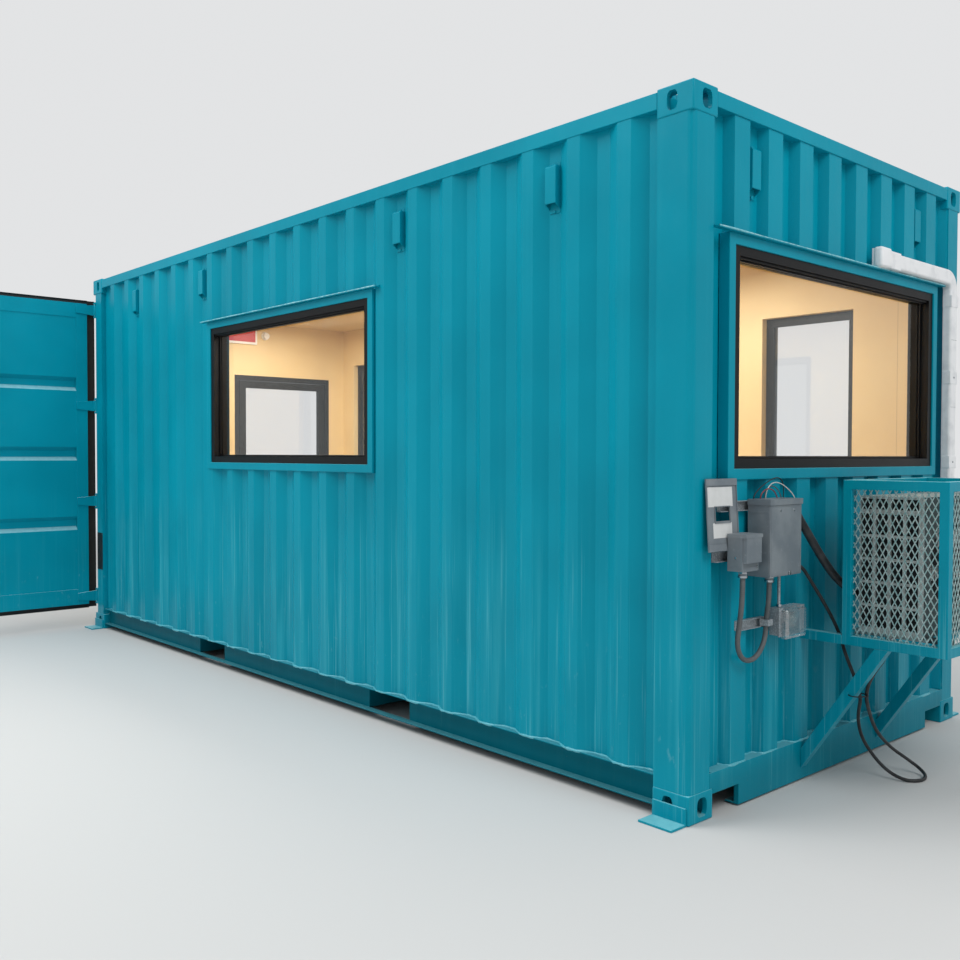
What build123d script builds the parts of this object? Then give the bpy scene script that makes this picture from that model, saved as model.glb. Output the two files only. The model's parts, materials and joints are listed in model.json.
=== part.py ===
"""Twenty-foot high-cube container fitted out as a small office, with both cargo leaves swung back.

+X is the blank end with the air-conditioner cage, -X the door end, -Y the long side with the wide
window, and +Z is up from the ground. All sizes are in millimetres.
"""
import math
import os

from build123d import *

# Overall body, to the outer faces of the corner castings
LENGTH = 6058
WIDTH = 2438
HEIGHT = 2896
HX = LENGTH / 2
HY = WIDTH / 2

# Corner castings and their slots
CAST_X = 178
CAST_Y = 162
CAST_Z = 118
CAST_WALL = 20
SLOT_SPACING_X = LENGTH - 205
SLOT_SPACING_Y = WIDTH - 179
SLOT_LONG = 124
SLOT_WIDE = 63.5
SIDE_SLOT_LONG = 79
SIDE_SLOT_WIDE = 51
CAST_CX = HX - CAST_X / 2
CAST_CY = HY - CAST_Y / 2
RAIL_X = HX - CAST_X
RAIL_Y = HY - CAST_Y
TOP_CAST_Z = HEIGHT - CAST_Z

# Angle feet welded to the lower castings
FOOT_LONG = 162
FOOT_HIGH = 72
FOOT_WIDE = 98
FOOT_T = 10
FOOT_INSET = 9

# Steel plate and sheet
PLATE = 6
SHEET = 3
TUBE_WALL = 4

# Posts
POST_INSET = 3
FRONT_POST_X = 175
FRONT_POST_Y = 141
FRONT_LIP_X = 42
FRONT_LIP_Y = 46
POST_BEND = 26
REAR_POST_DEEP = 119
REAR_POST_WIDE = 50
REAR_POST_BACK = HX - 43
REAR_POST_IN = REAR_POST_BACK - REAR_POST_DEEP
POST_OUT = HY - POST_INSET
REAR_POST_DOORSIDE = POST_OUT - REAR_POST_WIDE
WALL_X_MIN = 63 - REAR_POST_IN
WALL_X_MAX = HX - FRONT_POST_X

# Bottom side rails
RAIL_BOTTOM = 40
RAIL_TOP = 167
RAIL_LIP = HY - 6
RAIL_WEB = RAIL_LIP - 48

# Top side rails, top end rail and roof sheet with flutes across the container
TOP_RAIL_LOW = HEIGHT - 78
TOP_RAIL_HIGH = HEIGHT - 10
TOP_RAIL_OUT = HY - 2
TOP_RAIL_DEEP = 60
ROOF_TOP = TOP_RAIL_HIGH - 2
ROOF_DEEP = 20
ROOF_PITCH = 209
ROOF_FLAT = 91
ROOF_SLOPE = 22
END_RAIL_LOW = ROOF_TOP - 62
END_RAIL_OUT = HX - 2
END_RAIL_DEEP = 60

# Bottom end rail with a notch beside each casting
FRONT_RAIL_LOW = 8
FRONT_RAIL_HIGH = 180
FRONT_RAIL_DEEP = 68
NOTCH_WIDE = 185
NOTCH_IN = RAIL_Y - NOTCH_WIDE
NOTCH_TOP = 95
NOTCH_LIP = 24

# Corrugated long sides: pitch, outer flat, slope and depth, first outer flat at the blank end
SIDE_PITCH = 280
SIDE_FLAT = 72
SIDE_SLOPE = 69
SIDE_OUT = HY - 5
SIDE_DEEP = 36
SIDE_FIRST = HX - 383
SIDE_COUNT = int((SIDE_FIRST - SIDE_SLOPE - WALL_X_MIN) // SIDE_PITCH) + 1

# Corrugated blank end, with a half flat at each post
END_PITCH = 250
END_FLAT = 110
END_SLOPE = 18
END_OUT = HX - 8
END_DEEP = 45.6
END_START = 8
END_COUNT = int((2 * (HY - FRONT_POST_Y - END_START - END_SLOPE) - END_SLOPE) // END_PITCH)

# Floor
DECK_TOP = 178
DECK_T = 28
MEMBER_LOW = 50
MEMBER_FLANGE = 45
MEMBER_T = 5
MEMBER_PITCH = 300
POCKET_X = 1025
POCKET_WIDE = 360
POCKET_LOW = 46
POCKET_HIGH = 144

# Rear frame
SILL_LOW = 18
SILL_BACK = HX - 2
SILL_FRONT = SILL_BACK - 105
HEADER_LOW = HEIGHT - 156
HEADER_BACK = HX - 4
HEADER_FRONT = HEADER_BACK - 98
DECK_X_MIN = 2 - SILL_FRONT
DECK_X_MAX = END_RAIL_OUT - FRONT_RAIL_DEEP - PLATE

# Linings, ceiling and inner end wall of the room
LINING_T = 12
ROOM_Y = HY - 119
ROOM_X_MAX = HX - 119
ROOM_X_MIN = 279 - HX
CEILING = HEIGHT - 256
PARTITION_T = 140
PARTITION_BACK = ROOM_X_MIN - PARTITION_T
PARTITION_Y = ROOM_Y + 60

# Windows: all heads line up
WINDOW_HEAD = HEIGHT - 592
WINDOW_H = 908
WINDOW_W = 1830
WINDOW_Z = WINDOW_HEAD - WINDOW_H / 2
NEAR_WINDOW_X = -19
END_WINDOW_Y = -10
END_WINDOW_W = 2 * (HY - FRONT_POST_Y - 163)
FAR_WINDOW_W = 600
FAR_WINDOW_X = (ROOM_X_MIN + 470, ROOM_X_MAX - 730)
SURROUND = 45
SURROUND_DEEP = 52
SURROUND_PROUD = 8
FRAME_W = 40
GLASS_T = 6
GLASS_SET = 48
FAR_REVEAL = 50
FLASH_T = 3
FLASH_UP = 12
FLASH_OUT = 30
FAR_FLASH_OUT = 10
FLASH_OVER = 60
END_FLASH_OVER = 104

# Vent covers: pressed hoods, open at the slanted lower end
VENT_Z = HEIGHT - 265
VENT_H = 222
VENT_W = 64
VENT_DEEP = 34
VENT_RIM = 16
VENT_SHEET = 3
VENT_SLANT = 24
VENT_BAYS = (2, 6, SIDE_COUNT - 6, SIDE_COUNT - 2)
VENT_END_Y = 3 * END_PITCH

# Cargo leaves and their hinges
LEAF_LOW = DECK_TOP + 14
LEAF_HIGH = HEADER_LOW - 38
LEAF_T = 50
LEAF_EDGE = HY - 76
LEAF_MEET = 8
STILE = 90
LEAF_TOP_RAIL = 118
LEAF_LOW_RAIL = 130
RIB_HIGH = 112
RIB_SLOPE = 30
RIB_DEEP = 34
RIB_PITCH = 578
PANEL_SET = 4
GASKET_W = 16
GASKET_T = 14
PIN_X = HX - 13
PIN_Y = HY - 13
PIN_R = 8
PIN_FIT = 0.09
BARREL_R = 13
BLADE_OFF = 15
BLADE_T = 10
BLADE_REACH = 155
BLADE_ROOT = 88
BLADE_TIP = 60
LUG_T = 14
LUG_GAP = 6
LUG_IN = PIN_Y - 14
HINGE_COUNT = 4
HINGE_LOW = LEAF_LOW + 66
HINGE_RISE = (LEAF_HIGH - 50 - HINGE_LOW) / (HINGE_COUNT - 1)
HINGE_Z = [HINGE_LOW + HINGE_RISE * k for k in range(HINGE_COUNT)]
OPEN_ANGLE = 180
LEAF_FACE = PIN_X - BLADE_OFF - BLADE_T

# Glazed door in the inner end wall, on lift-off hinges, with a pull on each face
DOOR_Y0 = -70
DOOR_WIDE = 998
DOOR_Y1 = DOOR_Y0 + DOOR_WIDE
DOOR_TOP = DECK_TOP + 1987
DOOR_FRAME = 45
DOOR_FRAME_DEEP = 100
DOOR_GAP = 5.5
DOOR_T = 45
DOOR_RAIL = 62
DOOR_PIN_OUT = 14
DOOR_PIN_R = 5
DOOR_KNUCKLE_R = 8
DOOR_KNUCKLE_H = 44
DOOR_KNUCKLE_GAP = 6
DOOR_WEB = 6
DOOR_FLAP_W = 26
DOOR_FLAP_T = 4
DOOR_HINGE_LOW = DECK_TOP + 202
DOOR_HINGE_HIGH = DOOR_TOP - 245
DOOR_HINGE_Z = (DOOR_HINGE_LOW, (DOOR_HINGE_LOW + DOOR_HINGE_HIGH) / 2, DOOR_HINGE_HIGH)
PULL_R = 8
PULL_LONG = 300
PULL_OFF = 38
PULL_Z = DECK_TOP + 872

# Air-conditioner cage, its top just under the end window's surround
SILL_Z = WINDOW_HEAD - WINDOW_H - SURROUND
CAGE_DEEP = 447
CAGE_W = 758
CAGE_H = 707
CAGE_X0 = HX + 186
CAGE_X1 = CAGE_X0 + CAGE_DEEP
CAGE_Y0 = 831 - HY
CAGE_Y1 = CAGE_Y0 + CAGE_W
CAGE_Z1 = SILL_Z - 4
CAGE_Z0 = CAGE_Z1 - CAGE_H
CAGE_TUBE = 40
MESH_T = 4
BRACE = 50
BRACE_FOOT = 58
BRACE_HEAD_X = CAGE_X0 + 205
ARM_TOP = CAGE_Z0 + CAGE_TUBE

# Condenser: case, grille openings in its near end and fan opening in its outer face
UNIT_DEEP = 277
UNIT_W = 670
UNIT_H = 580
UNIT_FOOT_W = 45
UNIT_FOOT_H = 20
UNIT_ROUND = 6
UNIT_X0 = CAGE_X0 + 53
UNIT_X1 = UNIT_X0 + UNIT_DEEP
UNIT_Y0 = CAGE_Y0 + 43
UNIT_Y1 = UNIT_Y0 + UNIT_W
UNIT_Z0 = ARM_TOP + UNIT_FOOT_H
UNIT_Z1 = UNIT_Z0 + UNIT_H
GRILLE_DEEP = 12
GRILLE_COLS = 4
GRILLE_ROWS = 5
GRILLE_PITCH_X = 65
GRILLE_PITCH_Z = 98.4
GRILLE_W = 52
GRILLE_H = 88
GRILLE_TOP_H = 45
FAN_R = 205
FAN_HUB_R = 60
FAN_DEEP = 30

# Channel struts on the blank end: distance from the near side and height from the cage's underside
STRUT_DEEP = 21
STRUT_HIGH = 41
STRUT_T = 2.5
STRUTS = ((183, 659, 605), (149, 619, 405), (314, 507, 112.5))
GEAR_X = END_OUT + STRUT_DEEP

# Large switch box: body, hinged front and the cap over both
BIG_Y0 = 374 - HY
BIG_W = 242
BIG_Z0 = CAGE_Z0 + 316
BIG_H = 315
BIG_DEEP = 99
BIG_FRONT_T = 4
CAP_H = 22
CAP_OVER = 4

# Small switch box on its block, with a raised flap and a lid
SMALL_Y0 = 205 - HY
SMALL_W = 114
SMALL_Z0 = CAGE_Z0 + 350
SMALL_H = 149
SMALL_DEEP = 69
SMALL_BLOCK_T = 17
FLAP_T = 17
FLAP_LOW = 35
LID_H = 15
LID_OVER = 2

# Weatherproof outlet box with a flange, and the pipe down to it
OUTLET_Y0 = 539 - HY
OUTLET_W = 198
OUTLET_Z0 = CAGE_Z0 + 48
OUTLET_H = 120
OUTLET_DEEP = 50
OUTLET_FLANGE = 6
PIPE_R = 6.5
PIPE_X = 25
PIPE_Y = 574 - HY

# Loose inner cover that leans on the upper strut
COVER_Y0 = 80 - HY
COVER_W = 209
COVER_LOW = CAGE_Z0 + 431
COVER_H = 287
COVER_T = 2
COVER_LEAN = 3.8
COVER_BAND = 27
COVER_BAND_T = 5
CUTOUT_W = 100
CUTOUT_H = 56
CUTOUT_UP = 147

# Conduits and cable, with their glands
CONDUIT_D = 21
SUPPLY_D = 36
CABLE_D = 15
HUB_R = 17
HUB_H = 18
SUPPLY_GLAND_R = 20
CABLE_GLAND_R = 13
CLAMP_T = 4
CLAMP_W = 26

# Line-set cover with rounded front edges, its elbow and its wall cap
DUCT_X = HX - POST_INSET
DUCT_W = 79
DUCT_DEEP = 45
DUCT_ROUND = 14
DUCT_BEND = 25
DUCT_Y1 = ROOM_Y
DUCT_Y0 = DUCT_Y1 - DUCT_W
DUCT_HIGH = HEIGHT - 456
DUCT_LOW = DUCT_HIGH - DUCT_W
DUCT_END = SILL_Z - 61
CAP_Y0 = HY - 984
CAP_Y1 = CAP_Y0 + 95
CAP_RISE = 10

# Safety fixtures over the glazed door
SIGN_W = 304
SIGN_H = 186
SIGN_T = 22
SIGN_Y0 = DOOR_Y0 - 88
SIGN_TOP = CEILING - 10
LAMP_Y = SIGN_Y0 + SIGN_W + 89
LAMP_Z = SIGN_TOP - 100
LAMP_R = 35
LAMP_T = 40


def corners():
    return [(sx, sy) for sx in (1, -1) for sy in (1, -1)]


def bar(x0, x1, y0, y1, z0, z1, mode=Mode.ADD):
    """Square block between two corners, in the builder that is open."""
    with Locations(((x0 + x1) / 2, (y0 + y1) / 2, (z0 + z1) / 2)):
        Box(abs(x1 - x0), abs(y1 - y0), abs(z1 - z0), mode=mode)


def along_x(points, x0, x1, mode=Mode.ADD):
    """Extrude a (y, z) outline from x0 to x1."""
    with BuildSketch(Plane.YZ.offset(x0)) as face:
        with BuildLine():
            Polyline(*points, close=True)
        make_face()
    extrude(face.sketch, amount=x1 - x0, mode=mode)


def along_y(points, y0, y1, mode=Mode.ADD):
    """Extrude an (x, z) outline from y0 to y1."""
    with BuildSketch(Plane.XZ.offset(-y0)) as face:
        with BuildLine():
            Polyline(*points, close=True)
        make_face()
    extrude(face.sketch, amount=-(y1 - y0), mode=mode)


def along_z(points, z0, z1, mode=Mode.ADD):
    """Extrude an (x, y) outline from z0 to z1."""
    with BuildSketch(Plane.XY.offset(z0)) as face:
        with BuildLine():
            Polyline(*points, close=True)
        make_face()
    extrude(face.sketch, amount=z1 - z0, mode=mode)


def slot_through(origin, x_dir, z_dir, length, width, depth):
    """Cut a round-ended slot from a point along z_dir."""
    with BuildSketch(Plane(origin=origin, x_dir=x_dir, z_dir=z_dir)) as face:
        SlotOverall(length, width)
    extrude(face.sketch, amount=depth, mode=Mode.SUBTRACT)


def casting_block(z_mid, z_slot):
    """Four hollow castings at one level, slotted on the level face and on both outer faces."""
    with Locations([(sx * CAST_CX, sy * CAST_CY, z_mid) for sx, sy in corners()]):
        Box(CAST_X, CAST_Y, CAST_Z)
        Box(
            CAST_X - 2 * CAST_WALL,
            CAST_Y - 2 * CAST_WALL,
            CAST_Z - 2 * CAST_WALL,
            mode=Mode.SUBTRACT,
        )
    for sx, sy in corners():
        slot_x = sx * SLOT_SPACING_X / 2
        slot_y = sy * SLOT_SPACING_Y / 2
        slot_through((slot_x, slot_y, z_slot), (1, 0, 0), (0, 0, 1), SLOT_LONG, SLOT_WIDE, CAST_WALL)
        slot_through(
            (slot_x, sy * HY, z_mid), (1, 0, 0), (0, -sy, 0), SIDE_SLOT_LONG, SIDE_SLOT_WIDE, CAST_WALL
        )
        slot_through(
            (sx * HX, slot_y, z_mid), (0, 1, 0), (-sx, 0, 0), SIDE_SLOT_LONG, SIDE_SLOT_WIDE, CAST_WALL
        )


def rod(start, direction, length, radius, mode=Mode.ADD):
    """Round bar from a point along a direction."""
    with BuildSketch(Plane(origin=start, z_dir=direction)) as face:
        Circle(radius)
    extrude(face.sketch, amount=length, mode=mode)


def cord_tube(name, route, diameter):
    """Tube of straight runs and tangent arcs along a route; each arc is as large as its runs allow."""
    points = [Vector(*p) for p in route]
    runs = [b - a for a, b in zip(points, points[1:])]
    radii = []
    for before, after in zip(runs, runs[1:]):
        turn = math.radians(before.get_angle(after))
        radii.append(0.45 * min(before.length, after.length) / math.tan(turn / 2))
    with BuildLine() as line:
        FilletPolyline(*points, radius=radii)
    path = line.wires()[0]
    with BuildSketch(Plane(origin=points[0], z_dir=runs[0])) as face:
        Circle(diameter / 2)
    sweep(face.sketch, path=path)
    print(name, "runs", [round(r.length) for r in runs])
    print(name, "radii", [round(r) for r in radii], "length", round(path.length))
    return math.pi * diameter**2 / 4 * path.length


def gear_point(x, y, z):
    """Point given from the blank end's face, the near side and the cage's underside."""
    return (END_OUT + x, y - HY, CAGE_Z0 + z)


def hanging_point(x, y, share):
    """Point below the cage, its height a share of that of the cage's underside."""
    return (END_OUT + x, y - HY, share * CAGE_Z0)


def side_outline(sign):
    """One corrugated long side from above."""
    deep = SIDE_OUT - SIDE_DEEP
    outer = [(WALL_X_MAX, deep)]
    for k in range(SIDE_COUNT):
        left = SIDE_FIRST - SIDE_PITCH * k
        outer += [
            (left + SIDE_FLAT + SIDE_SLOPE, deep),
            (left + SIDE_FLAT, SIDE_OUT),
            (left, SIDE_OUT),
            (left - SIDE_SLOPE, deep),
        ]
    outer.append((WALL_X_MIN, deep))
    inner = [(x, y - SHEET) for x, y in reversed(outer)]
    return [(x, sign * y) for x, y in outer + inner]


def end_outline():
    """The corrugated blank end from above."""
    deep = END_OUT - END_DEEP
    limit = HY - FRONT_POST_Y
    start = limit - END_START
    outer = [(END_OUT, -limit), (END_OUT, -start), (deep, END_SLOPE - start)]
    for k in range(END_COUNT):
        middle = END_PITCH * (k - (END_COUNT - 1) / 2)
        outer += [
            (deep, middle - END_FLAT / 2 - END_SLOPE),
            (END_OUT, middle - END_FLAT / 2),
            (END_OUT, middle + END_FLAT / 2),
            (deep, middle + END_FLAT / 2 + END_SLOPE),
        ]
    outer += [(deep, start - END_SLOPE), (END_OUT, start), (END_OUT, limit)]
    return outer + [(x - SHEET, y) for x, y in reversed(outer)]


def roof_outline(x_min, x_max):
    """The fluted roof sheet from the side."""
    count = int((x_max - x_min - ROOF_FLAT) // ROOF_PITCH)
    start = (x_min + x_max - count * ROOF_PITCH) / 2
    half = (ROOF_PITCH - ROOF_FLAT) / 2
    top = [(x_min, ROOF_TOP)]
    for k in range(count):
        middle = start + ROOF_PITCH * (k + 0.5)
        top += [
            (middle - half, ROOF_TOP),
            (middle - half + ROOF_SLOPE, ROOF_TOP - ROOF_DEEP),
            (middle + half - ROOF_SLOPE, ROOF_TOP - ROOF_DEEP),
            (middle + half, ROOF_TOP),
        ]
    top.append((x_max, ROOF_TOP))
    return top + [(x, z - SHEET) for x, z in reversed(top)]


def post_outline(sx, sy):
    """Pressed corner post of the blank end, with a lip at each edge."""
    out_x = HX - POST_INSET
    mid_x = out_x - POST_BEND
    mid_y = POST_OUT - POST_BEND
    turn = [math.radians(a) for a in (90, 67.5, 45, 22.5, 0)]
    outer = [(WALL_X_MAX, POST_OUT - FRONT_LIP_X), (WALL_X_MAX, POST_OUT)]
    outer += [(mid_x + POST_BEND * math.cos(a), mid_y + POST_BEND * math.sin(a)) for a in turn]
    outer += [(out_x, HY - FRONT_POST_Y), (out_x - FRONT_LIP_Y, HY - FRONT_POST_Y)]
    small = POST_BEND - PLATE
    inner = [(out_x - FRONT_LIP_Y, HY - FRONT_POST_Y + PLATE), (out_x - PLATE, HY - FRONT_POST_Y + PLATE)]
    inner += [(mid_x + small * math.cos(a), mid_y + small * math.sin(a)) for a in reversed(turn)]
    inner += [(WALL_X_MAX + PLATE, POST_OUT - PLATE), (WALL_X_MAX + PLATE, POST_OUT - FRONT_LIP_X)]
    return [(sx * x, sy * y) for x, y in outer + inner]


def window_hole_y(x_mid, width, height, y0, y1, mode=Mode.SUBTRACT):
    bar(x_mid - width / 2, x_mid + width / 2, y0, y1, WINDOW_Z - height / 2, WINDOW_Z + height / 2, mode)


def window_hole_x(y_mid, width, height, x0, x1, mode=Mode.SUBTRACT):
    bar(x0, x1, y_mid - width / 2, y_mid + width / 2, WINDOW_Z - height / 2, WINDOW_Z + height / 2, mode)


os.makedirs("parts", exist_ok=True)

# Corner castings: hollow blocks with a slot in each outer face
with BuildPart() as corner_castings:
    casting_block(CAST_Z / 2, 0)
    casting_block(HEIGHT - CAST_Z / 2, HEIGHT - CAST_WALL)

# Angle feet: one leg on the casting's side, one on the ground
with BuildPart() as angle_feet:
    for sx, sy in corners():
        end = sx * (HX - FOOT_INSET)
        foot = [
            (sy * HY, 0),
            (sy * (HY + FOOT_WIDE), 0),
            (sy * (HY + FOOT_WIDE), FOOT_T),
            (sy * (HY + FOOT_T), FOOT_T),
            (sy * (HY + FOOT_T), FOOT_HIGH),
            (sy * HY, FOOT_HIGH),
        ]
        along_x(foot, end - sx * FOOT_LONG, end)

# Posts between the castings
with BuildPart() as front_corner_posts:
    for sy in (1, -1):
        along_z(post_outline(1, sy), CAST_Z, TOP_CAST_Z)

lug_half = BLADE_ROOT / 2 + LUG_GAP
with BuildPart() as rear_corner_posts:
    for sy in (1, -1):
        bar(-REAR_POST_BACK, -REAR_POST_IN, sy * REAR_POST_DOORSIDE, sy * POST_OUT, CAST_Z, TOP_CAST_Z)
        bar(
            -REAR_POST_BACK + PLATE,
            -REAR_POST_IN - PLATE,
            sy * (REAR_POST_DOORSIDE + PLATE),
            sy * (POST_OUT - PLATE),
            CAST_Z,
            TOP_CAST_Z,
            Mode.SUBTRACT,
        )
        deep = SIDE_OUT - SIDE_DEEP
        bar(-REAR_POST_IN, WALL_X_MIN, sy * (deep - PLATE), sy * deep, RAIL_TOP, TOP_CAST_Z)
        bar(-RAIL_X, WALL_X_MIN, sy * (deep - PLATE), sy * deep, TOP_CAST_Z, TOP_RAIL_LOW)
        for hz in HINGE_Z:
            for up in (1, -1):
                z0 = hz + up * lug_half
                bar(-HX, -REAR_POST_BACK, sy * LUG_IN, sy * HY, z0, z0 + up * LUG_T)
            with Locations((-PIN_X, sy * PIN_Y, hz)):
                Cylinder(PIN_R, 2 * lug_half + LUG_T)

# Bottom side rails: channels that open outwards, cut for the fork pockets
with BuildPart() as bottom_side_rails:
    for sy in (1, -1):
        channel = [
            (sy * RAIL_WEB, RAIL_BOTTOM),
            (sy * RAIL_LIP, RAIL_BOTTOM),
            (sy * RAIL_LIP, RAIL_BOTTOM + PLATE),
            (sy * (RAIL_WEB + PLATE), RAIL_BOTTOM + PLATE),
            (sy * (RAIL_WEB + PLATE), RAIL_TOP - PLATE),
            (sy * RAIL_LIP, RAIL_TOP - PLATE),
            (sy * RAIL_LIP, RAIL_TOP),
            (sy * RAIL_WEB, RAIL_TOP),
        ]
        along_x(channel, -RAIL_X, RAIL_X)
        for px in (-POCKET_X, POCKET_X):
            bar(
                px - POCKET_WIDE / 2,
                px + POCKET_WIDE / 2,
                sy * (RAIL_WEB - 1),
                sy * (RAIL_WEB + PLATE + 1),
                POCKET_LOW,
                POCKET_HIGH,
                Mode.SUBTRACT,
            )

# Top rails: square tubes between the upper castings
with BuildPart() as top_side_rails:
    for sy in (1, -1):
        y_in = sy * (TOP_RAIL_OUT - TOP_RAIL_DEEP)
        bar(-RAIL_X, RAIL_X, y_in, sy * TOP_RAIL_OUT, TOP_RAIL_LOW, TOP_RAIL_HIGH)
        bar(
            -RAIL_X,
            RAIL_X,
            y_in + sy * TUBE_WALL,
            sy * (TOP_RAIL_OUT - TUBE_WALL),
            TOP_RAIL_LOW + TUBE_WALL,
            TOP_RAIL_HIGH - TUBE_WALL,
            Mode.SUBTRACT,
        )

with BuildPart() as front_top_rail:
    bar(END_RAIL_OUT - END_RAIL_DEEP, END_RAIL_OUT, -RAIL_Y, RAIL_Y, END_RAIL_LOW, ROOF_TOP)
    bar(
        END_RAIL_OUT - END_RAIL_DEEP + TUBE_WALL,
        END_RAIL_OUT - TUBE_WALL,
        -RAIL_Y,
        RAIL_Y,
        END_RAIL_LOW + TUBE_WALL,
        ROOF_TOP - TUBE_WALL,
        Mode.SUBTRACT,
    )

# Bottom end rail: a face plate with folded edges and a lipped notch beside each casting
with BuildPart() as front_bottom_rail:
    rail_back = END_RAIL_OUT - FRONT_RAIL_DEEP
    limit = HY - FRONT_POST_Y
    bar(END_RAIL_OUT - PLATE, END_RAIL_OUT, -RAIL_Y, RAIL_Y, FRONT_RAIL_LOW, FRONT_RAIL_HIGH)
    bar(rail_back, END_RAIL_OUT, -RAIL_Y, RAIL_Y, FRONT_RAIL_HIGH - PLATE, FRONT_RAIL_HIGH)
    bar(rail_back, END_RAIL_OUT, -RAIL_Y, RAIL_Y, FRONT_RAIL_LOW, FRONT_RAIL_LOW + PLATE)
    for sy in (1, -1):
        bar(
            rail_back - 1,
            END_RAIL_OUT + 1,
            sy * NOTCH_IN,
            sy * RAIL_Y,
            FRONT_RAIL_LOW,
            NOTCH_TOP,
            Mode.SUBTRACT,
        )
        bar(
            END_RAIL_OUT - NOTCH_LIP,
            END_RAIL_OUT,
            sy * (NOTCH_IN - PLATE),
            sy * RAIL_Y,
            NOTCH_TOP,
            NOTCH_TOP + PLATE,
        )
        bar(
            END_RAIL_OUT - NOTCH_LIP,
            END_RAIL_OUT,
            sy * (NOTCH_IN - PLATE),
            sy * NOTCH_IN,
            FRONT_RAIL_LOW,
            NOTCH_TOP + PLATE,
        )
        bar(END_RAIL_OUT - PLATE, END_RAIL_OUT, sy * RAIL_Y, sy * limit, CAST_Z, FRONT_RAIL_HIGH)

# Rear frame: threshold and header, both between the posts
with BuildPart() as door_sill:
    sill_top = DECK_TOP - DECK_T
    bar(-SILL_BACK, -SILL_FRONT, -RAIL_Y, RAIL_Y, SILL_LOW, CAST_Z)
    bar(
        -SILL_BACK + PLATE,
        -SILL_FRONT - PLATE,
        -RAIL_Y,
        RAIL_Y,
        SILL_LOW + PLATE,
        CAST_Z - PLATE,
        Mode.SUBTRACT,
    )
    bar(-SILL_BACK, -SILL_FRONT, -REAR_POST_DOORSIDE, REAR_POST_DOORSIDE, CAST_Z, sill_top)
    bar(
        -SILL_BACK + PLATE,
        -SILL_FRONT - PLATE,
        -REAR_POST_DOORSIDE,
        REAR_POST_DOORSIDE,
        CAST_Z + PLATE,
        sill_top - PLATE,
        Mode.SUBTRACT,
    )

with BuildPart() as door_header:
    bar(-HEADER_BACK, -HEADER_FRONT, -RAIL_Y, RAIL_Y, TOP_CAST_Z, ROOF_TOP)
    bar(
        -HEADER_BACK + PLATE,
        -HEADER_FRONT - PLATE,
        -RAIL_Y,
        RAIL_Y,
        TOP_CAST_Z + PLATE,
        ROOF_TOP - PLATE,
        Mode.SUBTRACT,
    )
    bar(-HEADER_BACK, -HEADER_FRONT, -REAR_POST_DOORSIDE, REAR_POST_DOORSIDE, HEADER_LOW, TOP_CAST_Z)
    bar(
        -HEADER_BACK + PLATE,
        -HEADER_FRONT - PLATE,
        -REAR_POST_DOORSIDE,
        REAR_POST_DOORSIDE,
        HEADER_LOW + PLATE,
        TOP_CAST_Z - PLATE,
        Mode.SUBTRACT,
    )

# Corrugated walls, cut for the window surrounds
hole_w = WINDOW_W + 2 * SURROUND
hole_h = WINDOW_H + 2 * SURROUND
far_hole_w = FAR_WINDOW_W + 2 * SURROUND
end_hole_w = END_WINDOW_W + 2 * SURROUND
with BuildPart() as near_side_wall:
    along_z(side_outline(-1), RAIL_TOP, TOP_RAIL_LOW)
    window_hole_y(NEAR_WINDOW_X, hole_w, hole_h, -HY, -SIDE_OUT + SIDE_DEEP + 20)
    bar(RAIL_X, WALL_X_MAX + 1, -HY, -SIDE_OUT + SIDE_DEEP + 20, TOP_CAST_Z, TOP_RAIL_LOW, Mode.SUBTRACT)

with BuildPart() as far_side_wall:
    along_z(side_outline(1), RAIL_TOP, TOP_RAIL_LOW)
    for wx in FAR_WINDOW_X:
        window_hole_y(wx, far_hole_w, hole_h, SIDE_OUT - SIDE_DEEP - 20, HY)
    bar(RAIL_X, WALL_X_MAX + 1, SIDE_OUT - SIDE_DEEP - 20, HY, TOP_CAST_Z, TOP_RAIL_LOW, Mode.SUBTRACT)

with BuildPart() as blank_end_wall:
    along_z(end_outline(), FRONT_RAIL_HIGH, END_RAIL_LOW)
    window_hole_x(END_WINDOW_Y, end_hole_w, hole_h, END_OUT - END_DEEP - 20, HX)
    for sy in (1, -1):
        bar(END_OUT - 80, HX, sy * RAIL_Y, sy * HY, TOP_CAST_Z, END_RAIL_LOW, Mode.SUBTRACT)

with BuildPart() as roof_sheet:
    y_in = TOP_RAIL_OUT - TOP_RAIL_DEEP
    along_y(roof_outline(-HEADER_FRONT, END_RAIL_OUT - END_RAIL_DEEP), -y_in, y_in)
    for sx in (1, -1):
        for sy in (1, -1):
            bar(sx * RAIL_X, sx * HX, sy * RAIL_Y, sy * HY, TOP_CAST_Z, HEIGHT, Mode.SUBTRACT)

# Floor: cross members, fork pocket tunnels and deck
with BuildPart() as floor_cross_members:
    deck_under = DECK_TOP - DECK_T
    count = int((2 * RAIL_X - 200) // MEMBER_PITCH)
    for k in range(count + 1):
        x = (k - count / 2) * MEMBER_PITCH
        if abs(abs(x + MEMBER_FLANGE / 2) - POCKET_X) < POCKET_WIDE / 2 + MEMBER_FLANGE:
            continue
        section = [
            (x, MEMBER_LOW),
            (x + MEMBER_FLANGE, MEMBER_LOW),
            (x + MEMBER_FLANGE, MEMBER_LOW + MEMBER_T),
            (x + MEMBER_T, MEMBER_LOW + MEMBER_T),
            (x + MEMBER_T, deck_under - MEMBER_T),
            (x + MEMBER_FLANGE, deck_under - MEMBER_T),
            (x + MEMBER_FLANGE, deck_under),
            (x, deck_under),
        ]
        along_y(section, -RAIL_WEB, RAIL_WEB)

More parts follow.
